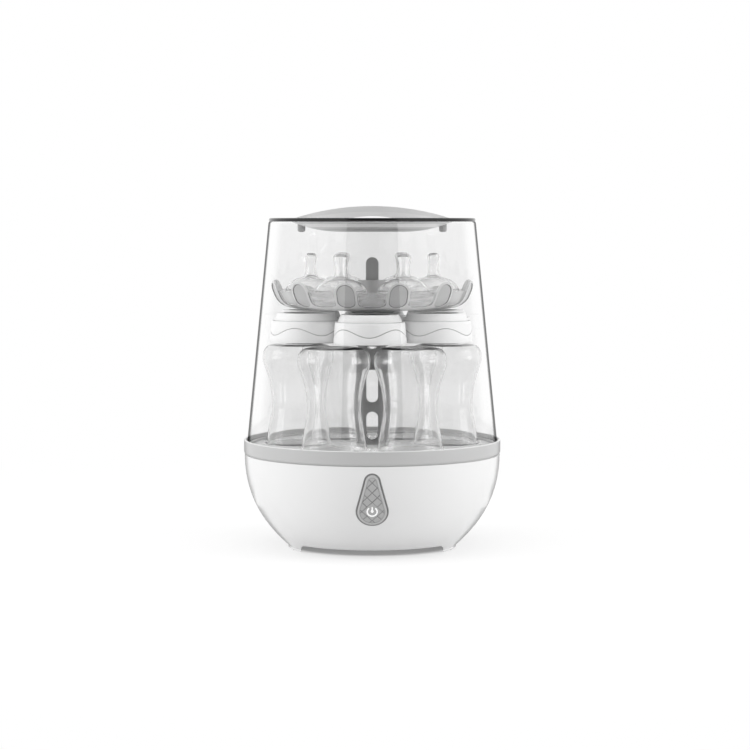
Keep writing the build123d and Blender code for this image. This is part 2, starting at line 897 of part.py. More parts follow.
# Upper post: carries the collar rack and, on its shoulder, the teat tray; its tab is the lift grip
with BuildPart() as upper_post:
    with BuildSketch(Plane.XY.offset(lower_post_top)):
        SlotOverall(post_width, post_depth)
    extrude(amount=shoulder_top - lower_post_top)
    with BuildSketch(Plane.XY.offset(lower_post_top)):
        SlotOverall(post_width - 2 * post_wall - 2 * lift_gap, post_depth - 2 * post_wall - 2 * lift_gap)
    extrude(amount=-spigot_length)
    with BuildSketch(Plane.XZ):
        with Locations((0, (high_window_foot + shoulder_top - high_window_head) / 2)):
            SlotOverall(shoulder_top - high_window_head - high_window_foot, window_width, rotation=90)
    extrude(amount=post_depth, both=True, mode=Mode.SUBTRACT)
    with BuildSketch(Plane.XZ):
        with Locations((0, (shoulder_top + tab_top - tab_width / 2) / 2)):
            Rectangle(tab_width, tab_top - tab_width / 2 - shoulder_top)
        with Locations((0, tab_top - tab_width / 2)):
            Circle(tab_width / 2)
    extrude(amount=tab_depth / 2, both=True)
    for side in (-1, 1):
        with BuildSketch(Plane.XZ.offset(side * (tab_depth / 2 - tab_recess))):
            with Locations((0, tab_top - tab_panel_drop)):
                SlotOverall(tab_panel, tab_width - 2 * tab_border, rotation=90)
        extrude(amount=side * tab_recess, mode=Mode.SUBTRACT)
upper_post.part.label = "upper_post"
export_step(upper_post.part, "parts/upper_post.step")

# Collar rack: a spider on the upper post, with a ring peg for each collar
with BuildPart() as collar_rack:
    with BuildSketch(Plane.XY.offset(collar_rack_top - collar_rack_thickness)):
        Circle(post_width / 2 + collar_rack_hub)
        with PolarLocations(place_circle / 2, place_count, 30):
            Rectangle(place_circle, arm_width)
        with PolarLocations(place_circle, place_count, 30):
            Circle(peg_radius + peg_pad)
        with PolarLocations(place_circle, place_count, 30):
            Circle(peg_radius - peg_ledge, mode=Mode.SUBTRACT)
        SlotOverall(post_width, post_depth, mode=Mode.SUBTRACT)
    extrude(amount=collar_rack_thickness)
    with BuildSketch(Plane.XY.offset(collar_rack_top)):
        with PolarLocations(place_circle, place_count, 30):
            Circle(peg_radius)
            Circle(peg_radius - peg_wall, mode=Mode.SUBTRACT)
    extrude(amount=peg_height)
collar_rack.part.label = "collar_rack"
export_step(collar_rack.part, "parts/collar_rack.step")

# One screw collar: a skirted lower band, a step and a cone up to the open top
with BuildPart() as collar:
    revolve(
        section(
            (collar_radius, collar_rack_top),
            (collar_radius - collar_draft, collar_shelf),
            (collar_radius - collar_draft - collar_step, collar_shelf),
            (collar_radius - collar_draft - 2 * collar_step, collar_top),
            (collar_bore, collar_top),
            (collar_radius - collar_draft - collar_step - collar_wall, collar_shelf - collar_wall),
            (collar_radius - collar_wall, collar_rack_top),
        ),
        axis=Axis.Z,
    )

# Six collars round the upper post, each a piece of its own
for number, location in enumerate(PolarLocations(place_circle, place_count, 30, rotate=False), start=1):
    with BuildPart() as placed_collar:
        with Locations(location):
            add(collar.part)
    placed_collar.part.label = f"collar_{number}"
    export_step(placed_collar.part, f"parts/collar_{number}.step")


def petal_curve(inset):
    """Outer curve of the petals in the XZ plane, moved inwards and up by an inset."""
    return Bezier(
        (tray_radius - inset, tray_rim_top),
        (tray_radius - inset - petal_shift, tray_rim_top - petal_flank),
        (tray_radius - inset - petal_belly, petal_foot + inset),
        (tray_radius - inset - petal_toe, petal_foot + inset),
    )


def petal_block(shrink):
    """Block behind one petal's outline, an arch that stands on the petal's foot."""
    spring = tray_rim_top - petal_width / 2
    with BuildPart() as block:
        with BuildSketch(Plane.YZ):
            with Locations((0, (petal_foot + spring + shrink) / 2)):
                Rectangle(petal_width - 2 * shrink, spring - petal_foot - shrink)
            with Locations((0, spring)):
                Circle(petal_width / 2 - shrink)
        extrude(amount=tray_radius + petal_wall)
    return block.part


# One petal, solid, from its outer curve back into the thickness of the tray's wall
with BuildPart() as petal_body:
    with BuildSketch(Plane.XZ):
        with BuildLine():
            add(petal_curve(0))
            Polyline(
                (tray_radius - petal_toe, petal_foot),
                (tray_radius - petal_toe, petal_foot + tray_thickness / 2),
                (wall_foot - tray_thickness / 2, wall_foot_height + tray_thickness / 2),
                (wall_head - tray_thickness / 2, tray_wall_top - tray_thickness / 2),
                (tray_radius - petal_depth, tray_rim_top),
                (tray_radius, tray_rim_top),
            )
        make_face()
    revolve(axis=Axis.Z)
    add(petal_block(0), mode=Mode.INTERSECT)

# The hollow behind it, open towards the middle of the tray
with BuildPart() as petal_hollow:
    with BuildSketch(Plane.XZ):
        with BuildLine():
            add(petal_curve(petal_wall))
            Polyline(
                (tray_radius - petal_wall - petal_toe, petal_foot + petal_wall),
                (tray_radius - petal_wall - petal_toe, tray_rim_top + petal_wall),
                (tray_radius - petal_wall, tray_rim_top + petal_wall),
                (tray_radius - petal_wall, tray_rim_top),
            )
        make_face()
    revolve(axis=Axis.Z)
    add(petal_block(petal_wall), mode=Mode.INTERSECT)

# The shallow panel sunk in its outer face, inside the arched border
with BuildPart() as petal_panel:
    with BuildSketch(Plane.XZ):
        with BuildLine():
            add(petal_curve(petal_recess))
            Polyline(
                (tray_radius - petal_recess - petal_toe, petal_foot + petal_recess),
                (tray_radius - petal_recess - petal_toe, tray_floor),
                (tray_radius + petal_wall, tray_floor),
                (tray_radius + petal_wall, tray_rim_top),
                (tray_radius - petal_recess, tray_rim_top),
            )
        make_face()
    revolve(axis=Axis.Z)
    add(petal_block(petal_border), mode=Mode.INTERSECT)

# Teat tray: a low bowl whose wall is a crown of twelve hollow petals
with BuildPart() as teat_tray:
    revolve(
        section(
            (0, tray_floor),
            (tray_heel, tray_floor),
            (wall_foot, wall_foot_height),
            (wall_head, tray_wall_top),
            (wall_head - tray_thickness, tray_wall_top),
            (wall_foot - tray_thickness * 0.9, wall_foot_height + tray_thickness),
            (tray_heel - tray_thickness * 0.45, tray_floor_top),
            (0, tray_floor_top),
        ),
        axis=Axis.Z,
    )
    with PolarLocations(0, petal_count, 15):
        add(petal_body.part)
    with PolarLocations(0, petal_count, 15):
        add(petal_hollow.part, mode=Mode.SUBTRACT)
    with PolarLocations(0, petal_count, 15):
        add(petal_panel.part, mode=Mode.SUBTRACT)
    with BuildSketch(Plane.XY.offset(tray_floor)):
        Circle(hub_neck)
        with PolarLocations(teat_circle, place_count):
            Circle(tray_steam_hole)
    extrude(amount=tray_thickness, mode=Mode.SUBTRACT)
teat_tray.part.label = "teat_tray"
export_step(teat_tray.part, "parts/teat_tray.step")

# Hub of the tray, a cone round the tab that sits on the upper post's shoulder
with BuildPart() as tray_hub:
    revolve(
        section(
            (0, shoulder_top),
            (hub_foot - hub_chamfer, shoulder_top),
            (hub_foot, shoulder_top + hub_chamfer),
            (hub_foot, tray_floor),
            (hub_neck, tray_floor),
            (hub_neck, tray_floor_top),
            (hub_radius, tray_floor + hub_height),
            (0, tray_floor + hub_height),
        ),
        axis=Axis.Z,
    )
    with BuildSketch(Plane.XY.offset(shoulder_top)):
        Rectangle(tab_width + 2 * hub_clearance, tab_depth + 2 * hub_clearance)
    extrude(amount=tray_floor + hub_height - shoulder_top, mode=Mode.SUBTRACT)
tray_hub.part.label = "tray_hub"
export_step(tray_hub.part, "parts/tray_hub.step")

# One teat: skirt, dome and nipple, a soft closed body
band_top = tray_floor_top + teat_dome_rise + teat_band
crown_rise = tray_floor_top + teat_crown - band_top
with BuildPart() as teat:
    revolve(
        section(
            (0, tray_floor_top),
            (teat_foot, tray_floor_top),
            (teat_skirt, tray_floor_top + teat_skirt_rise),
            (teat_dome, tray_floor_top + teat_dome_rise),
            (teat_dome, band_top),
            (teat_dome * 0.8, band_top + crown_rise * 0.63),
            (teat_dome * 0.52, band_top + crown_rise * 0.89),
            (nipple_neck, band_top + crown_rise),
            (nipple_neck, teat_top - nipple_length),
            (nipple_radius, teat_top - nipple_length * 0.7),
            (nipple_radius, teat_top - nipple_tip),
            (nipple_radius / 2, teat_top),
            (0, teat_top),
        ),
        axis=Axis.Z,
    )

# Six teats standing in the tray
with BuildPart() as teats:
    with PolarLocations(teat_circle, place_count, rotate=False):
        add(teat.part)
teats.part.label = "teats"
export_step(teats.part, "parts/teats.step")

# Cover: a clear cone with a flat top, open over the handle's dish
with BuildPart() as steam_cover:
    revolve(
        section(
            (cover_foot_radius, seat_top),
            (cover_top_radius + cover_slope * cover_edge, cover_top - cover_edge),
            (cover_top_radius - cover_edge, cover_top),
            (dish_radius, cover_top),
            (dish_radius, cover_top - cover_plate),
            (cover_top_radius - cover_wall + cover_slope * cover_plate, cover_top - cover_plate),
            (cover_foot_radius - cover_wall, seat_top),
        ),
        axis=Axis.Z,
    )
steam_cover.part.label = "steam_cover"
export_step(steam_cover.part, "parts/steam_cover.step")


def dish_curve(lift, end_radius, end_height):
    """Upper or lower side of the dish, from its flat middle to its rim."""
    start_height = dish_under + lift
    return ThreePointArc(
        (dish_flat, start_height),
        (dish_flat + (end_radius - dish_flat) * 0.56, start_height + (end_height - start_height) * 0.25),
        (end_radius, end_height),
    )


# Dish let into the cover's top under the handle, with its rim on the cover and two steam vents
with BuildPart() as handle_dish:
    with BuildSketch(Plane.XZ):
        with BuildLine():
            dish_curve(0, dish_radius, cover_top)
            Polyline(
                (dish_radius, cover_top),
                (dish_radius + dish_flange, cover_top),
                (dish_radius + dish_flange, dish_top),
                (dish_radius - dish_lip, dish_top),
            )
            dish_curve(dish_wall, dish_radius - dish_lip, dish_top)
            Polyline(
                (dish_flat, dish_under + dish_wall),
                (0, dish_under + dish_wall),
                (0, dish_under),
                (dish_flat, dish_under),
            )
        make_face()
    revolve(axis=Axis.Z)
    with BuildSketch(Plane.XY.offset(dish_under)):
        with Locations((0, -vent_place), (0, vent_place)):
            Circle(vent_radius)
        with Locations((-pin_spread, 0), (pin_spread, 0)):
            Circle(pin_radius)
    extrude(amount=dish_depth, mode=Mode.SUBTRACT)
handle_dish.part.label = "handle_dish"
export_step(handle_dish.part, "parts/handle_dish.step")

# Space over the dish, which the handle's bridge fills at its ends
with BuildPart() as dish_space:
    with BuildSketch(Plane.XZ):
        with BuildLine():
            dish_curve(dish_wall, dish_radius - dish_lip, dish_top)
            Polyline(
                (dish_flat, dish_under + dish_wall),
                (0, dish_under + dish_wall),
                (0, handle_peak),
                (dish_radius - dish_lip, handle_peak),
                (dish_radius - dish_lip, dish_top),
            )
        make_face()
    revolve(axis=Axis.Z)

# Lower half of the handle: an arch from side to side of the dish
with BuildPart() as handle_bridge:
    with BuildSketch(Plane.XZ):
        with BuildLine():
            ThreePointArc((cap_toe - dish_radius, dish_top), (0, split_peak), (dish_radius - cap_toe, dish_top))
            Polyline(
                (dish_radius - cap_toe, dish_top),
                (dish_radius - dish_lip, dish_top),
                (dish_radius - dish_lip, dish_under),
                (gap_reach, dish_under),
                (gap_reach, gap_foot),
            )
            ThreePointArc((gap_reach, gap_foot), (0, gap_peak), (-gap_reach, gap_foot))
            Polyline(
                (-gap_reach, gap_foot),
                (-gap_reach, dish_under),
                (dish_lip - dish_radius, dish_under),
                (dish_lip - dish_radius, dish_top),
                (cap_toe - dish_radius, dish_top),
            )
        make_face()
    extrude(amount=handle_width / 2, both=True)
    add(dish_space.part, mode=Mode.INTERSECT)
    with BuildSketch(Plane.XY.offset(dish_under)):
        with Locations((-pin_spread, 0), (pin_spread, 0)):
            Circle(pin_radius)
    extrude(amount=dish_depth - pin_head, mode=Mode.SUBTRACT)
handle_bridge.part.label = "handle_bridge"
export_step(handle_bridge.part, "parts/handle_bridge.step")

# Upper half of the handle: a crowned cap over the bridge, its ends on the dish's rim
with BuildPart() as handle_cap:
    with BuildSketch(Plane.XZ):
        with BuildLine():
            ThreePointArc((-dish_radius, dish_top), (0, handle_peak), (dish_radius, dish_top))
            Line((dish_radius, dish_top), (dish_radius - cap_toe, dish_top))
            ThreePointArc((dish_radius - cap_toe, dish_top), (0, split_peak), (cap_toe - dish_radius, dish_top))
            Line((cap_toe - dish_radius, dish_top), (-dish_radius, dish_top))
        make_face()
    extrude(amount=handle_width / 2, both=True)
handle_cap.part.label = "handle_cap"
export_step(handle_cap.part, "parts/handle_cap.step")

# Two pins that lock the bridge through the dish, round at their lower ends
with BuildPart() as handle_pins:
    with BuildSketch(Plane.XY.offset(dish_under - pin_proud)):
        with Locations((-pin_spread, 0), (pin_spread, 0)):
            Circle(pin_radius)
    extrude(amount=dish_depth + pin_proud - pin_head)
    fillet(handle_pins.faces().group_by(Axis.Z)[0].edges(), radius=pin_round)
handle_pins.part.label = "handle_pins"
export_step(handle_pins.part, "parts/handle_pins.step")
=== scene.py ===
import json
import math

import bmesh
import bpy
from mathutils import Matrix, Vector
from mathutils.bvhtree import BVHTree


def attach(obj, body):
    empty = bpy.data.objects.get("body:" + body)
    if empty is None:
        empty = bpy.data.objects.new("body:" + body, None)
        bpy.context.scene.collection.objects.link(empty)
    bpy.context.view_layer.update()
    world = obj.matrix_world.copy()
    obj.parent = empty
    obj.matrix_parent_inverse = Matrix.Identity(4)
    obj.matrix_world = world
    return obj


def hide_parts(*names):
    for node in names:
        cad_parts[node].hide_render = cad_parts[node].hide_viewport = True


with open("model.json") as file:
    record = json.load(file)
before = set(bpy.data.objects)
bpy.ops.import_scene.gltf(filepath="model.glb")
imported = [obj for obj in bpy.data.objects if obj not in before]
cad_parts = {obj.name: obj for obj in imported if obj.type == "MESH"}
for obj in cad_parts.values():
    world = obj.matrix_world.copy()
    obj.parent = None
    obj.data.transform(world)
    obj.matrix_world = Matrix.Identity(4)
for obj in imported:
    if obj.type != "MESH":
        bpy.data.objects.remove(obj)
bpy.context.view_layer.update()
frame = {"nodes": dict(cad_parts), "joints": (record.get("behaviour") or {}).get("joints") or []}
nodes = frame["nodes"]

MM = 0.001
TAU = 2 * math.pi

# Sizes shared with the solids, in millimetres
PLACES = 6
BOTTLE_CIRCLE = 72.0
TEAT_CIRCLE = 59.5
RIM_TOP = 105.7
TRAY_FLOOR = 232.6
COVER_TOP = 317.4


# Node helpers
def new_material(name):
    material = bpy.data.materials.new(name)
    material.use_nodes = True
    material.node_tree.nodes.clear()
    return material, material.node_tree


def node(tree, kind):
    return tree.nodes.new(kind)


def link(tree, source, target):
    tree.links.new(source, target)


def grey(value):
    return (value, value, value)


def object_coordinates(tree):
    return node(tree, "ShaderNodeTexCoord").outputs["Object"]


def noise(tree, coords, scale, detail=2.0):
    made = node(tree, "ShaderNodeTexNoise")
    made.inputs["Scale"].default_value = scale
    made.inputs["Detail"].default_value = detail
    link(tree, coords, made.inputs["Vector"])
    return made.outputs["Fac"]


def remap(tree, value, low, high, out_low, out_high, smooth=False):
    made = node(tree, "ShaderNodeMapRange")
    if smooth:
        made.interpolation_type = "SMOOTHSTEP"
    for slot, number in zip(("From Min", "From Max", "To Min", "To Max"), (low, high, out_low, out_high)):
        made.inputs[slot].default_value = number
    link(tree, value, made.inputs["Value"])
    return made.outputs["Result"]


def math_node(tree, operation, first, second):
    """Result of an operation on two values; each is a number or another node's output."""
    made = node(tree, "ShaderNodeMath")
    made.operation = operation
    for slot, value in enumerate((first, second)):
        if isinstance(value, (int, float)):
            made.inputs[slot].default_value = value
        else:
            link(tree, value, made.inputs[slot])
    return made.outputs[0]


def length_of(tree, vector):
    made = node(tree, "ShaderNodeVectorMath")
    made.operation = "LENGTH"
    link(tree, vector, made.inputs[0])
    return made.outputs["Value"]


def height_of(tree, coords):
    split = node(tree, "ShaderNodeSeparateXYZ")
    link(tree, coords, split.inputs[0])
    return split.outputs["Z"]


def facing(tree):
    """How far the surface turns away from the view: 0 face on, 1 at its outline."""
    made = node(tree, "ShaderNodeLayerWeight")
    made.inputs["Blend"].default_value = 0.5
    return made.outputs["Facing"]


def blend_colour(tree, factor, first, second):
    """Mix of two colours; each is a tuple or another node's output."""
    made = node(tree, "ShaderNodeMix")
    made.data_type = "RGBA"
    link(tree, factor, made.inputs["Factor"])
    for slot, colour in (("A", first), ("B", second)):
        if isinstance(colour, tuple):
            made.inputs[slot].default_value = (*colour, 1)
        else:
            link(tree, colour, made.inputs[slot])
    return made.outputs["Result"]


def bump(tree, height, strength, distance):
    made = node(tree, "ShaderNodeBump")
    made.inputs["Strength"].default_value = strength
    made.inputs["Distance"].default_value = distance
    link(tree, height, made.inputs["Height"])
    return made.outputs["Normal"]


def see_through(tree, tone):
    made = node(tree, "ShaderNodeBsdfTransparent")
    made.inputs["Color"].default_value = (*grey(tone), 1)
    return made.outputs[0]


def mix_shaders(tree, factor, first, second):
    made = node(tree, "ShaderNodeMixShader")
    link(tree, factor, made.inputs[0])
    link(tree, first, made.inputs[1])
    link(tree, second, made.inputs[2])
    return made.outputs[0]


def faint_shadow(tree, surface, tone):
    """The same surface, but its shadow is only a tint of that tone."""
    rays = node(tree, "ShaderNodeLightPath")
    return mix_shaders(tree, rays.outputs["Is Shadow Ray"], surface, see_through(tree, tone))


def backdrop_rays(tree):
    """1 for rays that look at the backdrop: straight from the camera, mirrored, or through clear plastic."""
    rays = node(tree, "ShaderNodeLightPath").outputs
    direct = math_node(tree, "MAXIMUM", rays["Is Camera Ray"], rays["Is Glossy Ray"])
    return math_node(tree, "MAXIMUM", direct, rays["Is Transmission Ray"])


def finish_material(tree, shader):
    out = node(tree, "ShaderNodeOutputMaterial")
    link(tree, shader, out.inputs["Surface"])


# Materials
WIDE_NOISE = (0.1, 0.9)
MIDDLE_NOISE = (0.3, 0.7)

DRIFT_SCALE = 14.0
POLISH_SCALE = 60.0
POLISH_SPAN = 0.05
GRAIN_STRENGTH = 0.25
COAT_ROUGHNESS = 0.08


def moulded(
    name, colour, roughness, grain=900.0, depth=0.000004, drift=0.006, coat=0.0, metallic=0.0, painted_light_bands=(),
    painted_glow=0.0,
):
    """Moulded plastic or metal: a faint drift of tone, a fine grain and an uneven polish.

    Each band is painted light or shade: a height in millimetres, the width of its change, and the grey that
    starts there.
    """
    material, tree = new_material(name)
    coords = object_coordinates(tree)
    shade = node(tree, "ShaderNodeBsdfPrincipled")
    low = tuple(c * (1 - drift) for c in colour)
    high = tuple(min(1.0, c * (1 + drift)) for c in colour)
    tone = remap(tree, noise(tree, coords, DRIFT_SCALE), *WIDE_NOISE, 0.0, 1.0, smooth=True)
    paint = blend_colour(tree, tone, low, high)
    # Bands paint light and shade by height
    for height, width, value in painted_light_bands:
        start, end = (height - width / 2) * MM, (height + width / 2) * MM
        reach = remap(tree, height_of(tree, coords), start, end, 0.0, 1.0)
        paint = blend_colour(tree, reach, paint, grey(value))
    link(tree, paint, shade.inputs["Base Color"])
    glossy, dull = roughness * (1 - POLISH_SPAN), roughness * (1 + POLISH_SPAN)
    polish = remap(tree, noise(tree, coords, POLISH_SCALE), *WIDE_NOISE, glossy, dull, smooth=True)
    link(tree, polish, shade.inputs["Roughness"])
    link(tree, bump(tree, noise(tree, coords, grain, 1.0), GRAIN_STRENGTH, depth), shade.inputs["Normal"])
    shade.inputs["Metallic"].default_value = metallic
    shade.inputs["Coat Weight"].default_value = coat
    shade.inputs["Coat Roughness"].default_value = COAT_ROUGHNESS
    # A glow is painted light
    if painted_glow:
        shade.inputs["Emission Color"].default_value = (*grey(1.0), 1)
        shade.inputs["Emission Strength"].default_value = painted_glow
    finish_material(tree, shade.outputs["BSDF"])
    return material


CLEAREST_TURN = (0.48, 0.66)
SHINE_SCALE = 20.0
SHINE_LEAST = 0.97
COVER_SHADOW = 0.98


def clear(name, middle, edge, start, end, gloss=0.10, roughness=0.01, foot=None):
    """Clear plastic without bending: a faint tint face on, none further round, and dark where it turns away.

    foot is (tone, start, height): a softer painted shade too, that fades from the rim ring up to that height.
    """
    material, tree = new_material(name)
    coords = object_coordinates(tree)
    turned = facing(tree)
    untinted = remap(tree, turned, *CLEAREST_TURN, 0.0, 1.0, smooth=True)
    paint = blend_colour(tree, untinted, grey(middle), grey(1.0))
    # The foot is painted shade at the cover's sides, just over the rim ring
    if foot is not None:
        tone, begin, height = foot
        low = remap(tree, height_of(tree, coords), RIM_TOP * MM, height * MM, 1.0, 0.0)
        soft = remap(tree, turned, begin, start, 0.0, 1.0)
        paint = blend_colour(tree, math_node(tree, "MULTIPLY", low, soft), paint, grey(tone))
    share = remap(tree, turned, start, end, 0.0, 1.0, smooth=True)
    through = node(tree, "ShaderNodeBsdfTransparent")
    link(tree, blend_colour(tree, share, paint, grey(edge)), through.inputs["Color"])
    shine = node(tree, "ShaderNodeBsdfGlossy")
    shine.inputs["Roughness"].default_value = roughness
    drift = remap(tree, noise(tree, coords, SHINE_SCALE), *MIDDLE_NOISE, SHINE_LEAST, 1.0)
    link(tree, blend_colour(tree, drift, grey(0.0), grey(1.0)), shine.inputs["Color"])
    mirrored = math_node(tree, "MULTIPLY", math_node(tree, "SUBTRACT", 1.0, share), gloss)
    surface = mix_shaders(tree, mirrored, through.outputs[0], shine.outputs[0])
    finish_material(tree, faint_shadow(tree, surface, COVER_SHADOW))
    return material


RIPPLE_SCALE = 60.0
RIPPLE_STRENGTH = 0.3
MILK_ROUGHNESS = 0.2
MILK_AT_EDGE = 2.5
GLASS_SHADOW = 0.93


def glass(name, middle, edge, start, end, roughness, ior, ripple, milk=0.0, milk_colour=0.8):
    """Clear plastic that bends what is behind it, darker where it turns away; its shadow is a faint tint.

    milk is the share of a pale scattering body in it, larger where it turns away.
    """
    material, tree = new_material(name)
    coords = object_coordinates(tree)
    share = remap(tree, facing(tree), start, end, 0.0, 1.0, smooth=True)
    body = node(tree, "ShaderNodeBsdfPrincipled")
    link(tree, blend_colour(tree, share, grey(middle), grey(edge)), body.inputs["Base Color"])
    body.inputs["Roughness"].default_value = roughness
    body.inputs["IOR"].default_value = ior
    body.inputs["Transmission Weight"].default_value = 1.0
    waves = noise(tree, coords, RIPPLE_SCALE, 1.0)
    link(tree, bump(tree, waves, RIPPLE_STRENGTH, ripple), body.inputs["Normal"])
    surface = body.outputs[0]
    if milk:
        pale = node(tree, "ShaderNodeBsdfPrincipled")
        pale.inputs["Base Color"].default_value = (*grey(milk_colour), 1)
        pale.inputs["Roughness"].default_value = MILK_ROUGHNESS
        cloudy = remap(tree, share, 0.0, 1.0, milk, min(1.0, MILK_AT_EDGE * milk))
        surface = mix_shaders(tree, cloudy, surface, pale.outputs[0])
    finish_material(tree, faint_shadow(tree, surface, GLASS_SHADOW))
    return material


SMOKE_SCALE = 30.0
SMOKE_DRIFT = 0.02
SMOKE_COAT = 0.2
SMOKE_COAT_ROUGHNESS = 0.06
SMOKE_TINT = 0.96
SMOKE_TURN = (0.2, 0.95)
SMOKE_AT_EDGE = 0.35


def smoky(name, tone, share, roughness=0.18):
    """Smoky plastic: a scattering body of one grey, with some of what is behind it showing through."""
    material, tree = new_material(name)
    coords = object_coordinates(tree)
    body = node(tree, "ShaderNodeBsdfPrincipled")
    drift = remap(tree, noise(tree, coords, SMOKE_SCALE), *MIDDLE_NOISE, 0.0, 1.0)
    low, high = grey(tone * (1 - SMOKE_DRIFT)), grey(tone * (1 + SMOKE_DRIFT))
    link(tree, blend_colour(tree, drift, low, high), body.inputs["Base Color"])
    body.inputs["Roughness"].default_value = roughness
    body.inputs["Coat Weight"].default_value = SMOKE_COAT
    body.inputs["Coat Roughness"].default_value = SMOKE_COAT_ROUGHNESS
    solid = remap(tree, facing(tree), *SMOKE_TURN, share, min(1.0, share + SMOKE_AT_EDGE))
    finish_material(tree, mix_shaders(tree, solid, see_through(tree, SMOKE_TINT), body.outputs[0]))
    return material


BOWL_WHITE = moulded("bowl_white", grey(0.82), 0.24, coat=0.2)
# The rim's band along its top edge is a painted highlight
RIM_GREY_PAINTED_HIGHLIGHT = moulded("rim_grey", grey(0.51), 0.30, painted_light_bands=((105.1, 0.4, 0.76),))
UNDER_WHITE = moulded("under_white", grey(0.72), 0.5)
FOOT_RUBBER = moulded("foot_rubber", grey(0.10), 0.75, grain=1400.0, depth=0.00002)
SCREW_STEEL = moulded("screw_steel", grey(0.55), 0.30, metallic=1.0)
BASIN_GREY = moulded("basin_grey", grey(0.28), 0.35)
SEAL = moulded("seal_silicone", grey(0.55), 0.45)
PLATE_STEEL = moulded("plate_steel", grey(0.62), 0.28, metallic=1.0, drift=0.04)
ELEMENT = moulded("element_metal", (0.32, 0.31, 0.30), 0.45, metallic=1.0, depth=0.00002)
BLACK = moulded("sensor_black", grey(0.02), 0.45)
BUTTON_GREY = moulded("button_grey", grey(0.44), 0.33, coat=0.15)
# Button face: painted shade in the lattice grooves, a painted highlight on the bevel and painted shade in a
# ring inside it
LATTICE_PAINTED_SHADE = moulded("lattice_painted_shade", grey(0.25), 0.40)
BEVEL_PAINTED_HIGHLIGHT = moulded("bevel_painted_highlight", grey(0.51), 0.30, coat=0.15)
RING_PAINTED_SHADE = moulded("ring_painted_shade", grey(0.34), 0.33)
BEZEL_DARK = moulded("bezel_dark", grey(0.28), 0.4)
BOARD = moulded("board_green", (0.02, 0.12, 0.05), 0.4, drift=0.05)
LAMP = moulded("lamp_body", (0.75, 0.75, 0.70), 0.3)
GLAND = moulded("gland_grey", grey(0.30), 0.6, depth=0.00002)
TERMINAL = moulded("terminal_white", (0.75, 0.74, 0.68), 0.5)
RACK_GREY = moulded("rack_grey", grey(0.81), 0.24, coat=0.2)
CARRIER_GREY = moulded("carrier_grey", grey(0.26), 0.30)
POST_GREY = moulded("post_grey", grey(0.28), 0.32, coat=0.1)
TAB_GREY = moulded("tab_grey", grey(0.47), 0.32, coat=0.1)
HUB_GREY = moulded("hub_grey", grey(0.52), 0.32, coat=0.1)
COLLAR_WHITE = moulded("collar_white", grey(0.95), 0.32, coat=0.1)
# Painted shade for the collars' grooves and their whole inside
COLLAR_PAINTED_SHADE = moulded("collar_painted_shade", grey(0.34), 0.45)
HANDLE_CAP = moulded("handle_cap_grey", grey(0.72), 0.30, coat=0.15)
HANDLE_GREY = moulded("handle_grey", grey(0.79), 0.30, coat=0.15)
# The dish: painted shade low on its underside, a painted highlight band higher up, and a mid grey at its top
DISH_PAINTED_BANDS = ((309.7, 0.5, 0.50), (311.4, 0.9, 0.96), (314.6, 0.8, 0.62))
DISH_PAINTED_GREY = moulded("dish_grey", grey(0.22), 0.30, coat=0.1, painted_light_bands=DISH_PAINTED_BANDS)
PIN_GREY = moulded("pin_grey", grey(0.34), 0.30, coat=0.1)
# The symbol glows a little: painted light that keeps it bright white
MARK_WHITE_PAINTED_GLOW = moulded("mark_white_painted_glow", grey(0.97), 0.35, painted_glow=0.22)
COVER_CLEAR = clear("cover_clear", 0.967, 0.46, 0.77, 0.85, foot=(0.90, 0.50, 126.0))
COVER_INSIDE = clear("cover_inside", 0.965, 0.97, 0.90, 0.99, gloss=0.0)
# The cover's top lip is painted near black: painted shade of the clear top seen edge-on
COVER_LIP_SHADE = moulded("cover_lip_painted_shade", grey(0.006), 0.12, drift=0.1)
BOTTLE_CLEAR = glass("bottle_clear", 0.95, 0.52, 0.84, 0.98, 0.015, 1.45, 0.00004)
TEAT_CLEAR = glass("teat_clear", 0.995, 0.84, 0.72, 0.97, 0.02, 1.40, 0.0004, milk=0.08, milk_colour=0.95)
TRAY_BORDER = smoky("tray_border", 0.70, 0.80)
TRAY_PANEL = smoky("tray_panel", 0.50, 0.84)
TRAY_BEHIND = smoky("tray_behind", 0.70, 0.55)
TRAY_WALL = smoky("tray_wall", 0.80, 0.22)
# Near black painted shade in the petals' steps and in the groove round each window
TRAY_GROOVE_SHADE = smoky("tray_groove_shade", 0.10, 0.80)

FINISHES = {
    "base_bowl": BOWL_WHITE, "foot_pads": FOOT_RUBBER, "bottom_cover": UNDER_WHITE,
    "bottom_screws": SCREW_STEEL, "rim_ring": RIM_GREY_PAINTED_HIGHLIGHT, "water_basin": BASIN_GREY, "plate_seal": SEAL,
    "heating_plate": PLATE_STEEL, "clamp_ring": SCREW_STEEL, "clamp_screws": SCREW_STEEL,
    "heating_element": ELEMENT, "thermostat": BLACK, "thermal_fuse": TERMINAL, "power_button": BUTTON_GREY,
    "button_bezel": BEZEL_DARK, "switch_stem": BLACK, "push_switch": BLACK, "control_board": BOARD,
    "indicator_lamp": LAMP, "board_screws": SCREW_STEEL, "cord_gland": GLAND, "gland_nut": GLAND,
    "terminal_block": TERMINAL, "bottle_rack": RACK_GREY, "lower_post": POST_GREY, "post_screw": SCREW_STEEL,
    "upper_post": TAB_GREY, "collar_rack": CARRIER_GREY, "teat_tray": TRAY_PANEL, "tray_hub": HUB_GREY,
    "teats": TEAT_CLEAR, "steam_cover": COVER_CLEAR, "handle_dish": DISH_PAINTED_GREY, "handle_bridge": HANDLE_GREY,
    "handle_cap": HANDLE_CAP, "handle_pins": PIN_GREY,
    **{f"bottle_{number}": BOTTLE_CLEAR for number in range(1, PLACES + 1)},
    **{f"collar_{number}": COLLAR_WHITE for number in range(1, PLACES + 1)},
}
for name, material in FINISHES.items():
    for slot in nodes[name].material_slots:
        slot.material = material


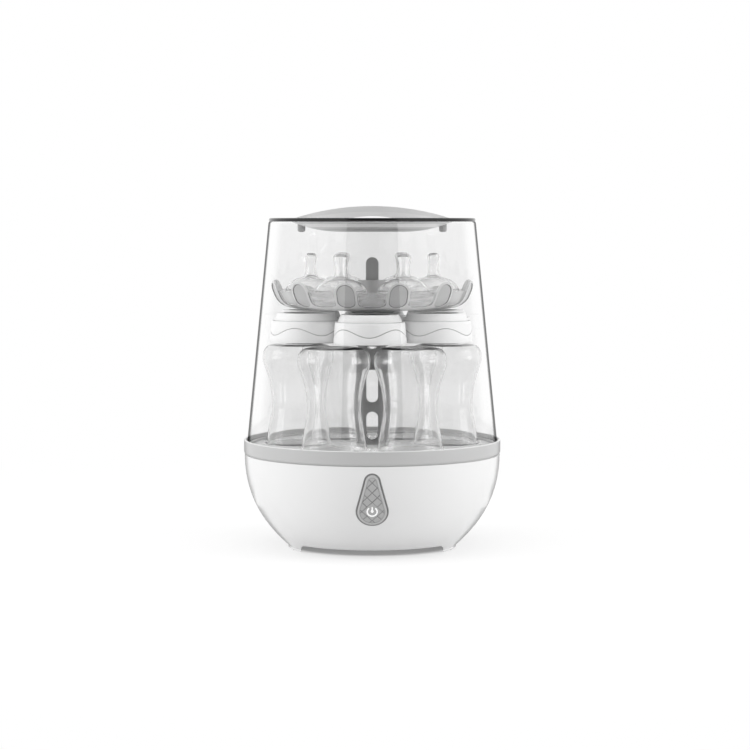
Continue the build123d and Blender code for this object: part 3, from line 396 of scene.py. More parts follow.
# Mesh helpers
CORNER_SHARE = 0.49
ON_AXIS = 1e-6


def rounded(points, steps=4):
    """Outline with its corners rounded: each point is (radius, height) or (radius, height, fillet)."""
    out = []
    last = len(points) - 1
    for i, point in enumerate(points):
        here = Vector(point[:2])
        size = point[2] if len(point) > 2 else 0.0
        if size == 0.0 or i in (0, last):
            out.append(tuple(here))
            continue
        back = Vector(points[i - 1][:2]) - here
        on = Vector(points[i + 1][:2]) - here
        cut = min(size, back.length * CORNER_SHARE, on.length * CORNER_SHARE)
        start = here + back.normalized() * cut
        end = here + on.normalized() * cut
        for k in range(steps + 1):
            t = k / steps
            out.append(tuple(start * (1 - t) ** 2 + here * 2 * t * (1 - t) + end * t * t))
    return out


def spline(points, steps):
    """Smooth line through its points."""
    out = []
    for i in range(len(points) - 1):
        before = Vector(points[max(i - 1, 0)])
        start, end = Vector(points[i]), Vector(points[i + 1])
        after = Vector(points[min(i + 2, len(points) - 1)])
        for k in range(steps):
            t = k / steps
            bend = 2 * start + (end - before) * t + (2 * before - 5 * start + 4 * end - after) * t * t
            bend += (3 * start - before - 3 * end + after) * t * t * t
            out.append(tuple(0.5 * bend))
    out.append(tuple(points[-1]))
    return out


def inset_line(points, distance):
    """Line of (radius, height) moved inwards, square to itself."""
    out = []
    for i, point in enumerate(points):
        before, after = Vector(points[max(i - 1, 0)]), Vector(points[min(i + 1, len(points) - 1)])
        along = (after - before).normalized()
        out.append((max(point[0] - along.y * distance, 0.0), point[1] + along.x * distance))
    return out


def piece(name, mesh, body, materials, replaces=(), sharp=35.0):
    """Object from a mesh, with its materials, body and shading set; the parts it stands for are hidden."""
    for polygon in mesh.polygons:
        polygon.use_smooth = True
    mesh.set_sharp_from_angle(angle=math.radians(sharp))
    for material in materials:
        mesh.materials.append(material)
    made = bpy.data.objects.new(name, mesh)
    bpy.context.scene.collection.objects.link(made)
    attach(made, body)
    if replaces:
        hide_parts(*replaces)


def mesh_of(name, verts, faces, marks=None):
    """Mesh from points in millimetres and faces, with a material number for each face if given."""
    mesh = bpy.data.meshes.new(name)
    mesh.from_pydata([(x * MM, y * MM, z * MM) for x, y, z in verts], [], faces)
    if marks is not None:
        for polygon, mark in zip(mesh.polygons, marks):
            polygon.material_index = mark
    mesh.update()
    return mesh


def lathe_mesh(name, outline, segments, centre=(0.0, 0.0), shape=None, turn=0.0, marks=None):
    """Mesh turned from an outline of (radius, height); shape moves a point by its row and angle.

    marks gives each span of the outline its material number.
    """
    verts, faces, rings, numbers = [], [], [], []
    for i, (radius, height) in enumerate(outline):
        if radius < ON_AXIS:
            rings.append([len(verts)])
            verts.append((centre[0], centre[1], height))
            continue
        ring = []
        for j in range(segments):
            angle = TAU * j / segments
            x, y, z = radius * math.cos(angle), radius * math.sin(angle), height
            if shape is not None:
                x, y, z = shape(i, angle, radius, height)
            ring.append(len(verts))
            east = centre[0] + x * math.cos(turn) - y * math.sin(turn)
            north = centre[1] + x * math.sin(turn) + y * math.cos(turn)
            verts.append((east, north, z))
        rings.append(ring)
    for span, (low, high) in enumerate(zip(rings, rings[1:])):
        if len(low) == 1 and len(high) == 1:
            continue
        for j in range(segments):
            k = (j + 1) % segments
            if len(low) == 1:
                faces.append((low[0], high[k], high[j]))
            elif len(high) == 1:
                faces.append((low[j], low[k], high[0]))
            else:
                faces.append((low[j], low[k], high[k], high[j]))
            numbers.append(marks[span] if marks else 0)
    return mesh_of(name, verts, faces, numbers)


def place(index, circle, start=0.0):
    """Centre of a load place on its circle, and its angle; start is in degrees."""
    angle = TAU * index / PLACES + math.radians(start)
    return (circle * math.cos(angle), circle * math.sin(angle)), angle


# Bottles: hollow shells, mouth down
BOTTLE_WALL = 1.5
BOTTLE_INSIDE_TOP = 196.6
BOTTLE_SEGMENTS = 112
bottle_side = spline(
    [
        (22.7, 78.0), (24.4, 92.4), (31.6, 99.9), (31.3, 104.0), (29.6, 113.0), (27.2, 126.5),
        (25.8, 137.0), (27.2, 156.0), (31.6, 172.6), (34.2, 180.0), (34.7, 186.0), (33.4, 192.0),
        (29.5, 196.4), (22.0, 198.2),
    ],
    steps=6,
)
bottle_base_outside = [(12.0, 197.6), (0.0, 196.9)]
bottle_base_inside = [(0.0, 195.2), (11.0, 195.8)]
bottle_inside = [(max(r - BOTTLE_WALL, 0.0), min(z, BOTTLE_INSIDE_TOP)) for r, z in reversed(bottle_side)]
bottle_outline = [*bottle_base_inside, *bottle_inside, *bottle_side, *bottle_base_outside]
for index in range(PLACES):
    centre, angle = place(index, BOTTLE_CIRCLE)
    name, stands_for = f"bottle_shell_{index + 1}", f"bottle_{index + 1}"
    mesh = lathe_mesh(name, bottle_outline, BOTTLE_SEGMENTS, centre)
    piece(name, mesh, "bottle_tier", [BOTTLE_CLEAR], (stands_for,), sharp=50.0)


# Collars: a wavy parting line round the lower band, a step and a cone. They stand over the gaps between the
# bottles, a little turned on their pegs
COLLAR_START = 180.0 / PLACES
COLLAR_TURN = -1.6
COLLAR_SEGMENTS = 160
WAVE_RISE = 3.6
WAVES = 4
WHITE, SHADED = range(2)
# Rows with the second material carry painted shade: the step's groove, the parting line's groove and the
# whole inside
# Radius, height, share of the wave's rise, material up to the next row
collar_rows = [
    (21.5, 229.2, 0.0, WHITE), (21.5, 229.8, 0.0, WHITE), (27.2, 229.8, 0.0, WHITE),
    (27.8, 229.2, 0.0, WHITE), (30.2, 223.3, 0.0, WHITE), (30.3, 222.9, 0.0, SHADED),
    (31.9, 222.6, 0.0, SHADED), (32.4, 222.6, 0.0, WHITE), (33.0, 222.0, 0.0, WHITE),
    (33.25, 219.5, 0.0, WHITE), (33.6, 217.0, 0.35, WHITE), (33.85, 214.2, 0.8, WHITE),
    (33.95, 213.2, 1.0, WHITE), (33.85, 213.0, 1.0, SHADED), (33.35, 212.85, 1.0, SHADED),
    (33.35, 212.6, 1.0, SHADED), (33.95, 212.4, 1.0, WHITE), (34.1, 211.6, 0.9, WHITE),
    (34.4, 207.5, 0.3, WHITE), (34.7, 203.2, 0.0, WHITE), (34.4, 202.4, 0.0, WHITE),
    (32.8, 202.4, 0.0, SHADED), (32.4, 208.0, 0.0, SHADED), (31.4, 220.5, 0.0, SHADED),
    (28.6, 221.5, 0.0, SHADED), (25.0, 227.6, 0.0, SHADED), (21.5, 229.2, 0.0, SHADED),
]


def wave(row, turn, radius, height):
    """Point of a collar, lifted by the wave of its parting line."""
    lift = collar_rows[row][2] * WAVE_RISE * math.cos(WAVES * turn + math.pi)
    return radius * math.cos(turn), radius * math.sin(turn), height + lift


collar_outline = [row[:2] for row in collar_rows]
collar_marks = [row[3] for row in collar_rows]
for index in range(PLACES):
    centre, angle = place(index, BOTTLE_CIRCLE, COLLAR_START + COLLAR_TURN)
    name, stands_for = f"collar_ring_{index + 1}", f"collar_{index + 1}"
    mesh = lathe_mesh(name, collar_outline, COLLAR_SEGMENTS, centre, wave, angle, collar_marks)
    piece(name, mesh, "collar_tier", [COLLAR_WHITE, COLLAR_PAINTED_SHADE], (stands_for,), sharp=40.0)


# Teats: hollow, with a stepped skirt, a dome and a nipple that is flatter towards the middle of the tray
TEAT_LIFT = 2.0
TEAT_FOOT = TRAY_FLOOR + TEAT_LIFT
TEAT_WALL = 1.6
TEAT_SEGMENTS = 96
NIPPLE_START = 28.0
NIPPLE_RUN = 14.0
NIPPLE_FLAT = 0.22
NIPPLE_WIDE = 0.06
dome_start = (24.2, 17.8)
teat_skirt = [
    (12.0, 0.2), (13.4, 0.6), (14.2, 2.6), (17.6, 5.0), (19.0, 5.6), (19.6, 8.2), (24.8, 10.6), (26.6, 11.9),
    (27.0, 13.4), (26.4, 14.4), (25.0, 14.9), (24.6, 15.8), (24.9, 16.8), dome_start,
]
teat_dome = spline(
    [
        dome_start, (22.0, 21.6), (18.0, 25.0), (13.0, 27.4), (8.2, 28.8), (6.1, 31.0), (5.8, 36.0),
        (6.2, 41.5), (7.2, 46.0), (7.3, 49.0), (5.6, 51.0), (3.0, 51.8), (0.0, 51.9),
    ],
    steps=5,
)


def nipple(row, turn, radius, height):
    """Point of a teat, its nipple narrower along the radius of the tray than across."""
    share = min(max((height - TEAT_FOOT - NIPPLE_START) / NIPPLE_RUN, 0.0), 1.0)
    across = radius * (1.0 + NIPPLE_WIDE * share) * math.sin(turn)
    return radius * (1.0 - NIPPLE_FLAT * share) * math.cos(turn), across, height


teat_outside = [(r, TEAT_FOOT + z) for r, z in teat_skirt + teat_dome[1:]]
teat_inside = inset_line(teat_outside, TEAT_WALL)
teat_inside[-1] = (0.0, teat_outside[-1][1] - TEAT_WALL)
teat_outline = [*reversed(teat_inside), *teat_outside]
for index in range(PLACES):
    centre, angle = place(index, TEAT_CIRCLE)
    name = f"teat_{index + 1}"
    mesh = lathe_mesh(name, teat_outline, TEAT_SEGMENTS, centre, nipple, angle)
    piece(name, mesh, "teat_tier", [TEAT_CLEAR], ("teats",), sharp=50.0)


# Teat tray: a crown of twelve arched petals with sunk panels, and recessed clear walls between them
PETALS = 12
PETAL_START = 15.0
PETAL_HALF = 10.85
PETAL_TOP = 260.1
PETAL_SPRING = PETAL_TOP - PETAL_HALF
PETAL_BORDER = 2.1
PETAL_SUNK = 0.9
PETAL_EDGE = 0.5
PETAL_THICK = 1.8
GAP = TAU / PETALS
SIDE_FOOT = 233.0
SIDE_STEPS = 30
SIDE_POWER = 1.7
ARCH_STEPS = 28
BORDER, PANEL, BEHIND, WALL, GROOVE_SHADE = range(5)
TRAY_FINISHES = [TRAY_BORDER, TRAY_PANEL, TRAY_BEHIND, TRAY_WALL, TRAY_GROOVE_SHADE]
petal_side = spline(
    [
        (70.0, SIDE_FOOT), (76.8, 233.3), (83.0, 234.6), (88.3, 237.1), (93.2, 241.8), (96.2, 247.6),
        (98.4, 253.6), (99.4, PETAL_TOP),
    ],
    steps=8,
)
verts, faces, marks = [], [], []


def add_grid(rows, number, flip=False):
    """Quads between rows of points, all with one material number or one from number(row, column)."""
    first = len(verts)
    width = len(rows[0])
    for row in rows:
        verts.extend(row)
    for i in range(len(rows) - 1):
        for j in range(width - 1):
            a = first + i * width + j
            quad = (a, a + 1, a + width + 1, a + width)
            faces.append(quad[::-1] if flip else quad)
            marks.append(number(i, j) if callable(number) else number)


def side_at(height):
    """Radius of the tray's side at a height."""
    for (r0, z0), (r1, z1) in zip(petal_side, petal_side[1:]):
        if height <= z1 or (r1, z1) == petal_side[-1]:
            return r0 + (r1 - r0) * min(max((height - z0) / (z1 - z0), 0.0), 1.0)


def side_heights(foot, top, power=SIDE_POWER):
    """Heights up the tray's side, closer together at its flat foot."""
    return [foot + (top - foot) * (k / SIDE_STEPS) ** power for k in range(SIDE_STEPS + 1)]


def tray_line(angle, line, depth):
    """Points on the tray's side, set back by depth, from places across the petal's middle and up."""
    out = []
    for across, height in line:
        radius = side_at(height) - depth
        spread = math.asin(max(-1.0, min(1.0, across / radius)))
        out.append((radius * math.cos(angle + spread), radius * math.sin(angle + spread), height))
    return out


def arch_ring(half, rise):
    """Points across and up: a side of given places, the arch over it, and the other side."""
    arch = []
    for k in range(1, ARCH_STEPS):
        turn = math.pi * (1 - k / ARCH_STEPS)
        arch.append((half * math.cos(turn), PETAL_SPRING + half * math.sin(turn)))
    return [(-x, z) for x, z in rise] + arch + [(x, z) for x, z in reversed(rise)]


def open_ring(inset):
    """Line round a petal, inset from its outline and open at the foot."""
    half = PETAL_HALF - inset
    return arch_ring(half, [(half, z) for z in side_heights(SIDE_FOOT, PETAL_SPRING)])


PANEL_FOOT = 236.4
PANEL_FOOT_RISE = 0.7
PANEL_ROUND = 6.5
PANEL_POWER = 1.5
PANEL_SQUARENESS = 2.6


def panel_ring(inset):
    """Line round a petal's panel, inset from the petal's outline and closed by a rounded foot."""
    half = PETAL_HALF - inset
    foot = PANEL_FOOT + PANEL_FOOT_RISE * (inset - PETAL_BORDER)
    rise = []
    for z in side_heights(foot, PETAL_SPRING, PANEL_POWER):
        share = min((z - foot) / PANEL_ROUND, 1.0)
        rise.append((half * (1 - (1 - share) ** PANEL_SQUARENESS) ** 0.5, z))
    return arch_ring(half, rise)


def between(first, last, share):
    """Line at a share of the way from one line to another."""
    return [(x0 + (x1 - x0) * share, z0 + (z1 - z0) * share) for (x0, z0), (x1, z1) in zip(first, last)]


# Front of a petal, as lines and their depths: a rounded edge, a flat border, a step down and the panel
EDGE_FLAT = 0.7
EDGE_LINES = ((0.0, PETAL_EDGE), (0.12, 0.2), (0.35, 0.05), (EDGE_FLAT, 0.0))
BORDER_SHARES = (0.15, 0.3, 0.45, 0.6, 0.75, 0.9, 1.0)
STEP_WIDE = 0.35
STEP_LINES = ((0.12, 0.25), (STEP_WIDE, PETAL_SUNK))
GROOVE_WIDE = 0.6
PANEL_LINES = 7
petal_lines = [(open_ring(inset), depth) for inset, depth in EDGE_LINES]
for share in BORDER_SHARES:
    petal_lines.append((between(open_ring(EDGE_FLAT), panel_ring(PETAL_BORDER), share), 0.0))
petal_marks = [BORDER] * (len(petal_lines) - 1)
# The step down to the panel is painted near black, as shade
petal_lines += [(panel_ring(PETAL_BORDER + inset), depth) for inset, depth in STEP_LINES]
petal_lines.append((panel_ring(PETAL_BORDER + GROOVE_WIDE), PETAL_SUNK))
petal_marks += [GROOVE_SHADE] * (len(STEP_LINES) + 1)
for k in range(1, PANEL_LINES + 1):
    inset = PETAL_BORDER + STEP_WIDE + (PETAL_HALF - PETAL_BORDER - STEP_WIDE) * k / PANEL_LINES
    petal_lines.append((panel_ring(inset), PETAL_SUNK))
petal_marks += [PANEL] * PANEL_LINES

# Back of a petal: its edge, and a plain face behind the panel
BACK_INSET = 0.3
BACK_FLAT = 0.8
back_depth = PETAL_EDGE + PETAL_THICK
panel_back = PETAL_THICK + PETAL_SUNK
back_lines = [
    (open_ring(BACK_INSET), back_depth),
    (open_ring(BACK_FLAT), panel_back),
    (open_ring(PETAL_HALF), panel_back),
]


def petal_mark(row, column):
    """Material number of the quads between two lines of a petal's front."""
    return petal_marks[row]


def add_petal(angle):
    add_grid([tray_line(angle, line, depth) for line, depth in petal_lines], petal_mark, flip=True)
    edge = tray_line(angle, open_ring(0.0), PETAL_EDGE)
    add_grid([edge, tray_line(angle, *back_lines[0])], BORDER)
    add_grid([tray_line(angle, line, depth) for line, depth in back_lines], BEHIND)


# Wall between two petals, with a window sunk in it; BORDER_TO and the like are distances inside the window
WALL_TOP = 250.6
WALL_RECESS = 2.4
WALL_THICK = 1.6
WALL_BACK = PETAL_EDGE + WALL_RECESS + WALL_THICK
WALL_INSIDE_FOOT = 234.6
WALL_COLUMNS = 16
WALL_PLACES = [0.0, 0.15, 0.35, 0.55, 0.8, 1.1, 1.5, 2.0, 2.6, 3.3, 4.2, 5.2, 6.4, 8.0, 10.0, 12.0, 14.0]
PLACE_ROOM = 0.4
WINDOW_FOOT = 237.2
WINDOW_CORNER = 4.5
WINDOW_FOOT_STEEP = 1.6
BORDER_TO = -0.6
EMPTY_GROOVE_FROM = -0.4
GROOVE_TO = 0.25
SLOPE_TO = 0.9


def window_depth(side, height):
    """Set-back of the wall at a distance from the petal, and how far the place is inside the window."""
    corner = max(0.0, WINDOW_FOOT + WINDOW_CORNER - height)
    lack = WINDOW_CORNER - math.sqrt(max(0.0, WINDOW_CORNER**2 - min(corner, WINDOW_CORNER) ** 2))
    inner = min(side - lack, (height - WINDOW_FOOT) * WINDOW_FOOT_STEEP)
    share = min(max(inner, 0.0), 1.0)
    return WALL_RECESS * share * share * (3 - 2 * share), inner


def wall_row(angle, height):
    """Points across the wall's outer face, and how far each one is inside the window."""
    radius = side_at(height)
    reach = math.asin(PETAL_HALF / (radius - PETAL_EDGE))
    half = (GAP / 2 - reach) * radius
    near = [p for p in WALL_PLACES if p < half - PLACE_ROOM]
    near += [half] * (len(WALL_PLACES) + 1 - len(near))
    row, inner_row = [], []
    for p in near + [2 * half - p for p in reversed(near[:-1])]:
        depth, inner = window_depth(min(p, 2 * half - p), height)
        turn = angle + reach + p / radius
        far = radius - PETAL_EDGE - depth
        row.append((far * math.cos(turn), far * math.sin(turn), height))
        inner_row.append(inner)
    return row, inner_row


# The rows are as wide on every wall, so one wall's places in the window serve for the marks of all
wall_inner = [wall_row(0.0, height)[1] for height in side_heights(SIDE_FOOT, WALL_TOP)]


def wall_mark(i, j):
    """Material number of a quad of the wall's outer face: border, groove round the window in painted shade,
    slope, window.
    """
    inner = sum((wall_inner[i][j], wall_inner[i + 1][j], wall_inner[i][j + 1], wall_inner[i + 1][j + 1])) / 4
    if inner < BORDER_TO:
        return BORDER
    if inner < GROOVE_TO:
        grooved = wall_inner[i][j] != wall_inner[i][j + 1] or inner > EMPTY_GROOVE_FROM
        return GROOVE_SHADE if grooved else BORDER
    return BEHIND if inner < SLOPE_TO else WALL


def add_wall(angle):
    """Wall to the next petal: its outer face with the window sunk in, its inner face and its top."""
    outer = [wall_row(angle, height)[0] for height in side_heights(SIDE_FOOT, WALL_TOP)]
    add_grid(outer, wall_mark, flip=True)
    inside = []
    for z in side_heights(WALL_INSIDE_FOOT, WALL_TOP):
        radius = side_at(z) - WALL_BACK
        reach = math.asin(PETAL_HALF / radius)
        turns = [angle + reach + (GAP - 2 * reach) * k / WALL_COLUMNS for k in range(WALL_COLUMNS + 1)]
        inside.append([(radius * math.cos(turn), radius * math.sin(turn), z) for turn in turns])
    add_grid(inside, WALL)
    top_row = []
    for x, y, z in outer[-1]:
        share = (side_at(z) - WALL_BACK) / math.hypot(x, y)
        top_row.append((x * share, y * share, z))
    add_grid([outer[-1], top_row], BORDER, flip=True)


for petal in range(PETALS):
    petal_angle = GAP * petal + math.radians(PETAL_START)
    add_petal(petal_angle)
    add_wall(petal_angle)

# Floor of the tray, from the hub out to the foot of its side
FLOOR_SEGMENTS = 180
floor_outline = rounded(
    [
        (18.2, 232.7), (72.0, 232.9, 1.0), (77.0, 233.6), (79.0, 235.6), (72.5, 234.6, 1.0), (18.2, 234.5),
        (18.2, 232.7),
    ]
)
floor_turns = [TAU * k / FLOOR_SEGMENTS for k in range(FLOOR_SEGMENTS + 1)]
floor_rows = [[(r * math.cos(turn), r * math.sin(turn), z) for turn in floor_turns] for r, z in floor_outline]
add_grid(floor_rows, BEHIND)

# Points that coincide are joined, and the faces that have no area there go
JOIN_REACH = 0.02 * MM
tray_mesh = mesh_of("tray_crown", verts, faces, marks)
join = bmesh.new()
join.from_mesh(tray_mesh)
bmesh.ops.remove_doubles(join, verts=join.verts, dist=JOIN_REACH)
bmesh.ops.dissolve_degenerate(join, edges=join.edges, dist=JOIN_REACH)
join.to_mesh(tray_mesh)
join.free()
piece("tray_crown", tray_mesh, "teat_tier", TRAY_FINISHES, ("teat_tray",), sharp=30.0)


# Rim ring: its outer wall with a softened upper edge, the cover's seat, and the groove over the bowl's lip
RIM_RADIUS = 124.96
RIM_SEGMENTS = 360
rim_outline = rounded(
    [
        (123.2, 91.4), (RIM_RADIUS, 93.7, 0.5), (RIM_RADIUS, RIM_TOP, 1.0), (122.8, RIM_TOP, 0.5),
        (122.8, 101.7, 0.2), (117.6, 101.7, 0.2), (117.6, 97.1, 0.2), (119.8, 97.1, 0.2), (119.8, 99.1, 0.1),
        (122.0, 99.1, 0.1), (122.0, 91.4, 0.2), (123.2, 91.4),
    ]
)
rim_mesh = lathe_mesh("rim_shell", rim_outline, RIM_SEGMENTS)
piece("rim_shell", rim_mesh, "base", [RIM_GREY_PAINTED_HIGHLIGHT], ("rim_ring",), sharp=40.0)


# Cover: its outer and inner faces, and the small lip round its top, painted near black as shade
OUTSIDE, INSIDE, LIP_SHADE = range(3)
COVER_FINISHES = [COVER_CLEAR, COVER_INSIDE, COVER_LIP_SHADE]
COVER_SEGMENTS = 288
cover_outside = rounded([(119.8, 101.75), (121.9, 101.75, 0.5), (100.5, 315.6, 1.0), (99.6, 316.9)])
cover_lip = rounded(
    [(99.9, 316.8), (100.1, 319.2, 0.8), (99.2, 320.2, 0.6), (98.0, 320.2, 0.5), (97.8, 317.3)]
)
cover_inside = rounded([(79.9, 317.3), (79.9, 315.0), (98.2, 315.0, 1.2), (119.8, 101.75)])
cover_outline = cover_outside + cover_lip + cover_inside
cover_marks = [OUTSIDE] * (len(cover_outside) - 1) + [LIP_SHADE] * len(cover_lip) + [INSIDE] * len(cover_inside)
cover_mesh = lathe_mesh("cover_shell", cover_outline, COVER_SEGMENTS, marks=cover_marks)
piece("cover_shell", cover_mesh, "lid", COVER_FINISHES, ("steam_cover",), sharp=30.0)


# Button face: a raised border, a diamond lattice of grooves and the common power symbol
BUTTON_LOW = 13.9
BUTTON_HIGH = 6.4
BUTTON_PITCH = 29.6
BUTTON_LEAN = math.asin((BUTTON_LOW - BUTTON_HIGH) / BUTTON_PITCH)
BUTTON_TOP = BUTTON_PITCH / 2 + BUTTON_HIGH
# Middle of the button, on the bowl's wall where that is square to the press
BUTTON_ORIGIN = Vector((0.0, -120.9785, 62.926212))
press_axis = Vector(next(joint["axis"] for joint in frame["joints"] if joint["name"] == "button_press"))
BUTTON_OUT = -press_axis
BUTTON_UP = Vector((0.0, -press_axis.z, press_axis.y))
RAY_START = 30.0
LOW_CENTRE = Vector((0.0, -BUTTON_PITCH / 2))
HIGH_CENTRE = Vector((0.0, BUTTON_PITCH / 2))
FLANK_NORMAL = Vector((math.cos(BUTTON_LEAN), math.sin(BUTTON_LEAN)))
FLANK_ALONG = Vector((-FLANK_NORMAL.y, FLANK_NORMAL.x))
FLANK_LENGTH = BUTTON_PITCH * math.cos(BUTTON_LEAN)
LATTICE_STEP = 9.44
LATTICE_HALF = 0.42
LATTICE_DEEP = 0.35
LATTICE_EASE = 0.1
LATTICE_SLOPE = 0.25
SYMBOL_UP = -14.2
SYMBOL_ROOM = 0.4
# Height of the face over the solid, by the distance from the outline; inside the bevel it is slightly crowned
FACE_PROFILE = [
    (0.0, 0.2), (0.25, 0.6), (0.5, 0.8), (0.9, 0.85), (1.4, 0.85), (1.8, 0.75), (2.1, 0.55), (2.4, 0.45),
    (2.8, 0.45),
]
BEVEL = 2.3
CROWN_SLOPE = 0.05
CROWN_MOST = 0.18
TOP_EASE = 0.58
FACE_SUNK = 0.3
FACE_GRID = 0.22
EDGE_ROOM = 0.05
BEVEL_INNER = 0.25
RING_WIDE = 0.5
# Painted highlight on the bevel, painted shade in the ring inside it and in the lattice grooves
PLAIN, SHADED_LATTICE, HIGHLIT_BEVEL, SHADED_RING = range(4)
FACE_FINISHES = [BUTTON_GREY, LATTICE_PAINTED_SHADE, BEVEL_PAINTED_HIGHLIGHT, RING_PAINTED_SHADE]
button_solid = BVHTree.FromObject(nodes["power_button"], bpy.context.evaluated_depsgraph_get())


def button_point(across, up, lift):
    """Point on the button's crowned face, lifted square to it; None beside the button."""
    flat = BUTTON_ORIGIN + BUTTON_UP * up + Vector((across, 0.0, 0.0))
    hit = button_solid.ray_cast((flat + BUTTON_OUT * RAY_START) * MM, -BUTTON_OUT)[0]
    if hit is None:
        return None
    return hit / MM + BUTTON_OUT * lift


def lattice(across, up):
    """How far a point is from the nearest lattice line, in millimetres; the symbol's diamond has no lines."""
    first = (across + up - SYMBOL_UP) / math.sqrt(2)
    second = (across - up + SYMBOL_UP) / math.sqrt(2)
    step = LATTICE_STEP / math.sqrt(2)
    if abs(across) + abs(up - SYMBOL_UP) < LATTICE_STEP - SYMBOL_ROOM:
        return step / 2
    return min(abs(first - step * round(first / step)), abs(second - step * round(second / step)))


def inside_by(across, up):
    """How far a point is inside the button's teardrop outline."""
    spot = Vector((abs(across), up))
    run = (spot - LOW_CENTRE).dot(FLANK_ALONG)
    if run < 0:
        return BUTTON_LOW - (spot - LOW_CENTRE).length
    if run > FLANK_LENGTH:
        return BUTTON_HIGH - (spot - HIGH_CENTRE).length
    return BUTTON_LOW - (spot - LOW_CENTRE).dot(FLANK_NORMAL)


def face_lift(distance, across, up):
    """Height of the button's face over the solid, by the distance from its outline and from the lattice."""
    lift = FACE_PROFILE[-1][1]
    for (a, low), (b, high) in zip(FACE_PROFILE, FACE_PROFILE[1:]):
        if a <= distance <= b:
            lift = low + (high - low) * (distance - a) / (b - a)
    if distance > BEVEL:
        groove = (LATTICE_HALF + LATTICE_EASE - lattice(across, up)) / LATTICE_SLOPE
        lift += min(CROWN_MOST, CROWN_SLOPE * (distance - BEVEL))
        lift -= LATTICE_DEEP * min(max(groove, 0.0), 1.0)
    # The relief eases off towards the top, where the bowl is widest, so that it stays within the rim ring
    return lift * (1 - TOP_EASE * max(up / BUTTON_TOP, 0.0) ** 2)


verts, under, faces, marks, spots = [], [], [], [], {}


def face_spot(i, j):
    """Number, distance inside and distance from the lattice of a grid point on the face; None outside it."""
    if (i, j) not in spots:
        across = -BUTTON_LOW + i * FACE_GRID
        up = -BUTTON_PITCH / 2 - BUTTON_LOW + j * FACE_GRID
        depth = inside_by(across, up)
        made = button_point(across, up, face_lift(depth, across, up)) if depth > EDGE_ROOM else None
        if made is None:
            spots[i, j] = None
        else:
            spots[i, j] = (len(verts), depth, lattice(across, up))
            verts.append(tuple(made))
            under.append(tuple(button_point(across, up, -FACE_SUNK)))
    return spots[i, j]


def face_mark(depth, line):
    """Material number on the face, by the distance inside and the distance from the lattice: a painted
    highlight on the bevel, painted shade in the ring inside it and in the lattice grooves.
    """
    if depth < BEVEL - BEVEL_INNER:
        return HIGHLIT_BEVEL
    if depth < BEVEL + RING_WIDE:
        return SHADED_RING
    return SHADED_LATTICE if line < LATTICE_HALF else PLAIN


for i in range(int(2 * BUTTON_LOW / FACE_GRID) + 2):
    for j in range(int((BUTTON_PITCH + BUTTON_LOW + BUTTON_HIGH) / FACE_GRID) + 2):
        corners = [face_spot(*c) for c in ((i, j), (i + 1, j), (i + 1, j + 1), (i, j + 1))]
        if None in corners:
            continue
        faces.append(tuple(corner[0] for corner in corners))
        depth = sum(corner[1] for corner in corners) / 4
        line = sum(corner[2] for corner in corners) / 4
        marks.append(face_mark(depth, line))
# The face is closed below, inside the button's solid
lower = len(verts)
verts += under
top_faces = list(faces)
sides = {(a, b) for face in top_faces for a, b in zip(face, face[1:] + face[:1])}
faces += [(b, a, a + lower, b + lower) for a, b in sorted(sides) if (b, a) not in sides]
faces += [tuple(a + lower for a in reversed(face)) for face in top_faces]
marks += [HIGHLIT_BEVEL] * (len(faces) - len(marks))
button_mesh = mesh_of("button_face", verts, faces, marks)
piece("button_face", button_mesh, "button", FACE_FINISHES, sharp=60.0)


# Power symbol: an open ring, and a bar that ends in a round dot
SYMBOL_RADIUS = 4.6
SYMBOL_OPEN = math.radians(38.0)
SYMBOL_FOOT = 0.5
SYMBOL_RISE = 0.55
RING_WIDTH = 1.35
RING_STEPS = 48
BAR_WIDTH = 1.3
BAR_START = 0.4
BAR_LENGTH = 4.4
BAR_STEPS = 12
DOT_RADIUS = 0.75
DOT_STEPS = 24
# Across a ribbon: share of its half width, and share of its rise
RIBBON_SECTION = ((-1, 0.0), (-0.85, 1.0), (0.85, 1.0), (1, 0.0))


def ribbon(name, line, width, closed):
    """Flat raised band along a line on the button's face."""
    verts, faces = [], []
    count = len(line)
    corners = len(RIBBON_SECTION)
    for k in range(count):
        before = Vector(line[(k - 1) % count] if closed or k else line[k])
        after = Vector(line[(k + 1) % count] if closed or k < count - 1 else line[k])
        along = (after - before).normalized()
        square = Vector((-along.y, along.x))
        for side, rise in RIBBON_SECTION:
            spot = Vector(line[k]) + square * side * width / 2
            verts.append(tuple(button_point(spot.x, spot.y, SYMBOL_FOOT + SYMBOL_RISE * rise)))
    for k in range(count if closed else count - 1):
        here, there = corners * k, corners * ((k + 1) % count)
        for side in range(corners):
            following = (side + 1) % corners
            faces.append((here + side, there + side, there + following, here + following))
    if not closed:
        last = corners * count
        faces += [tuple(range(corners)), tuple(range(last - 1, last - 1 - corners, -1))]
    return mesh_of(name, verts, faces)


def symbol_arc(radius, height, start, end, count, steps):
    """Points on an arc round a centre on the button's middle line, from start to end in steps."""
    turns = [start + (end - start) * k / steps for k in range(count)]
    return [(radius * math.cos(turn), height + radius * math.sin(turn)) for turn in turns]


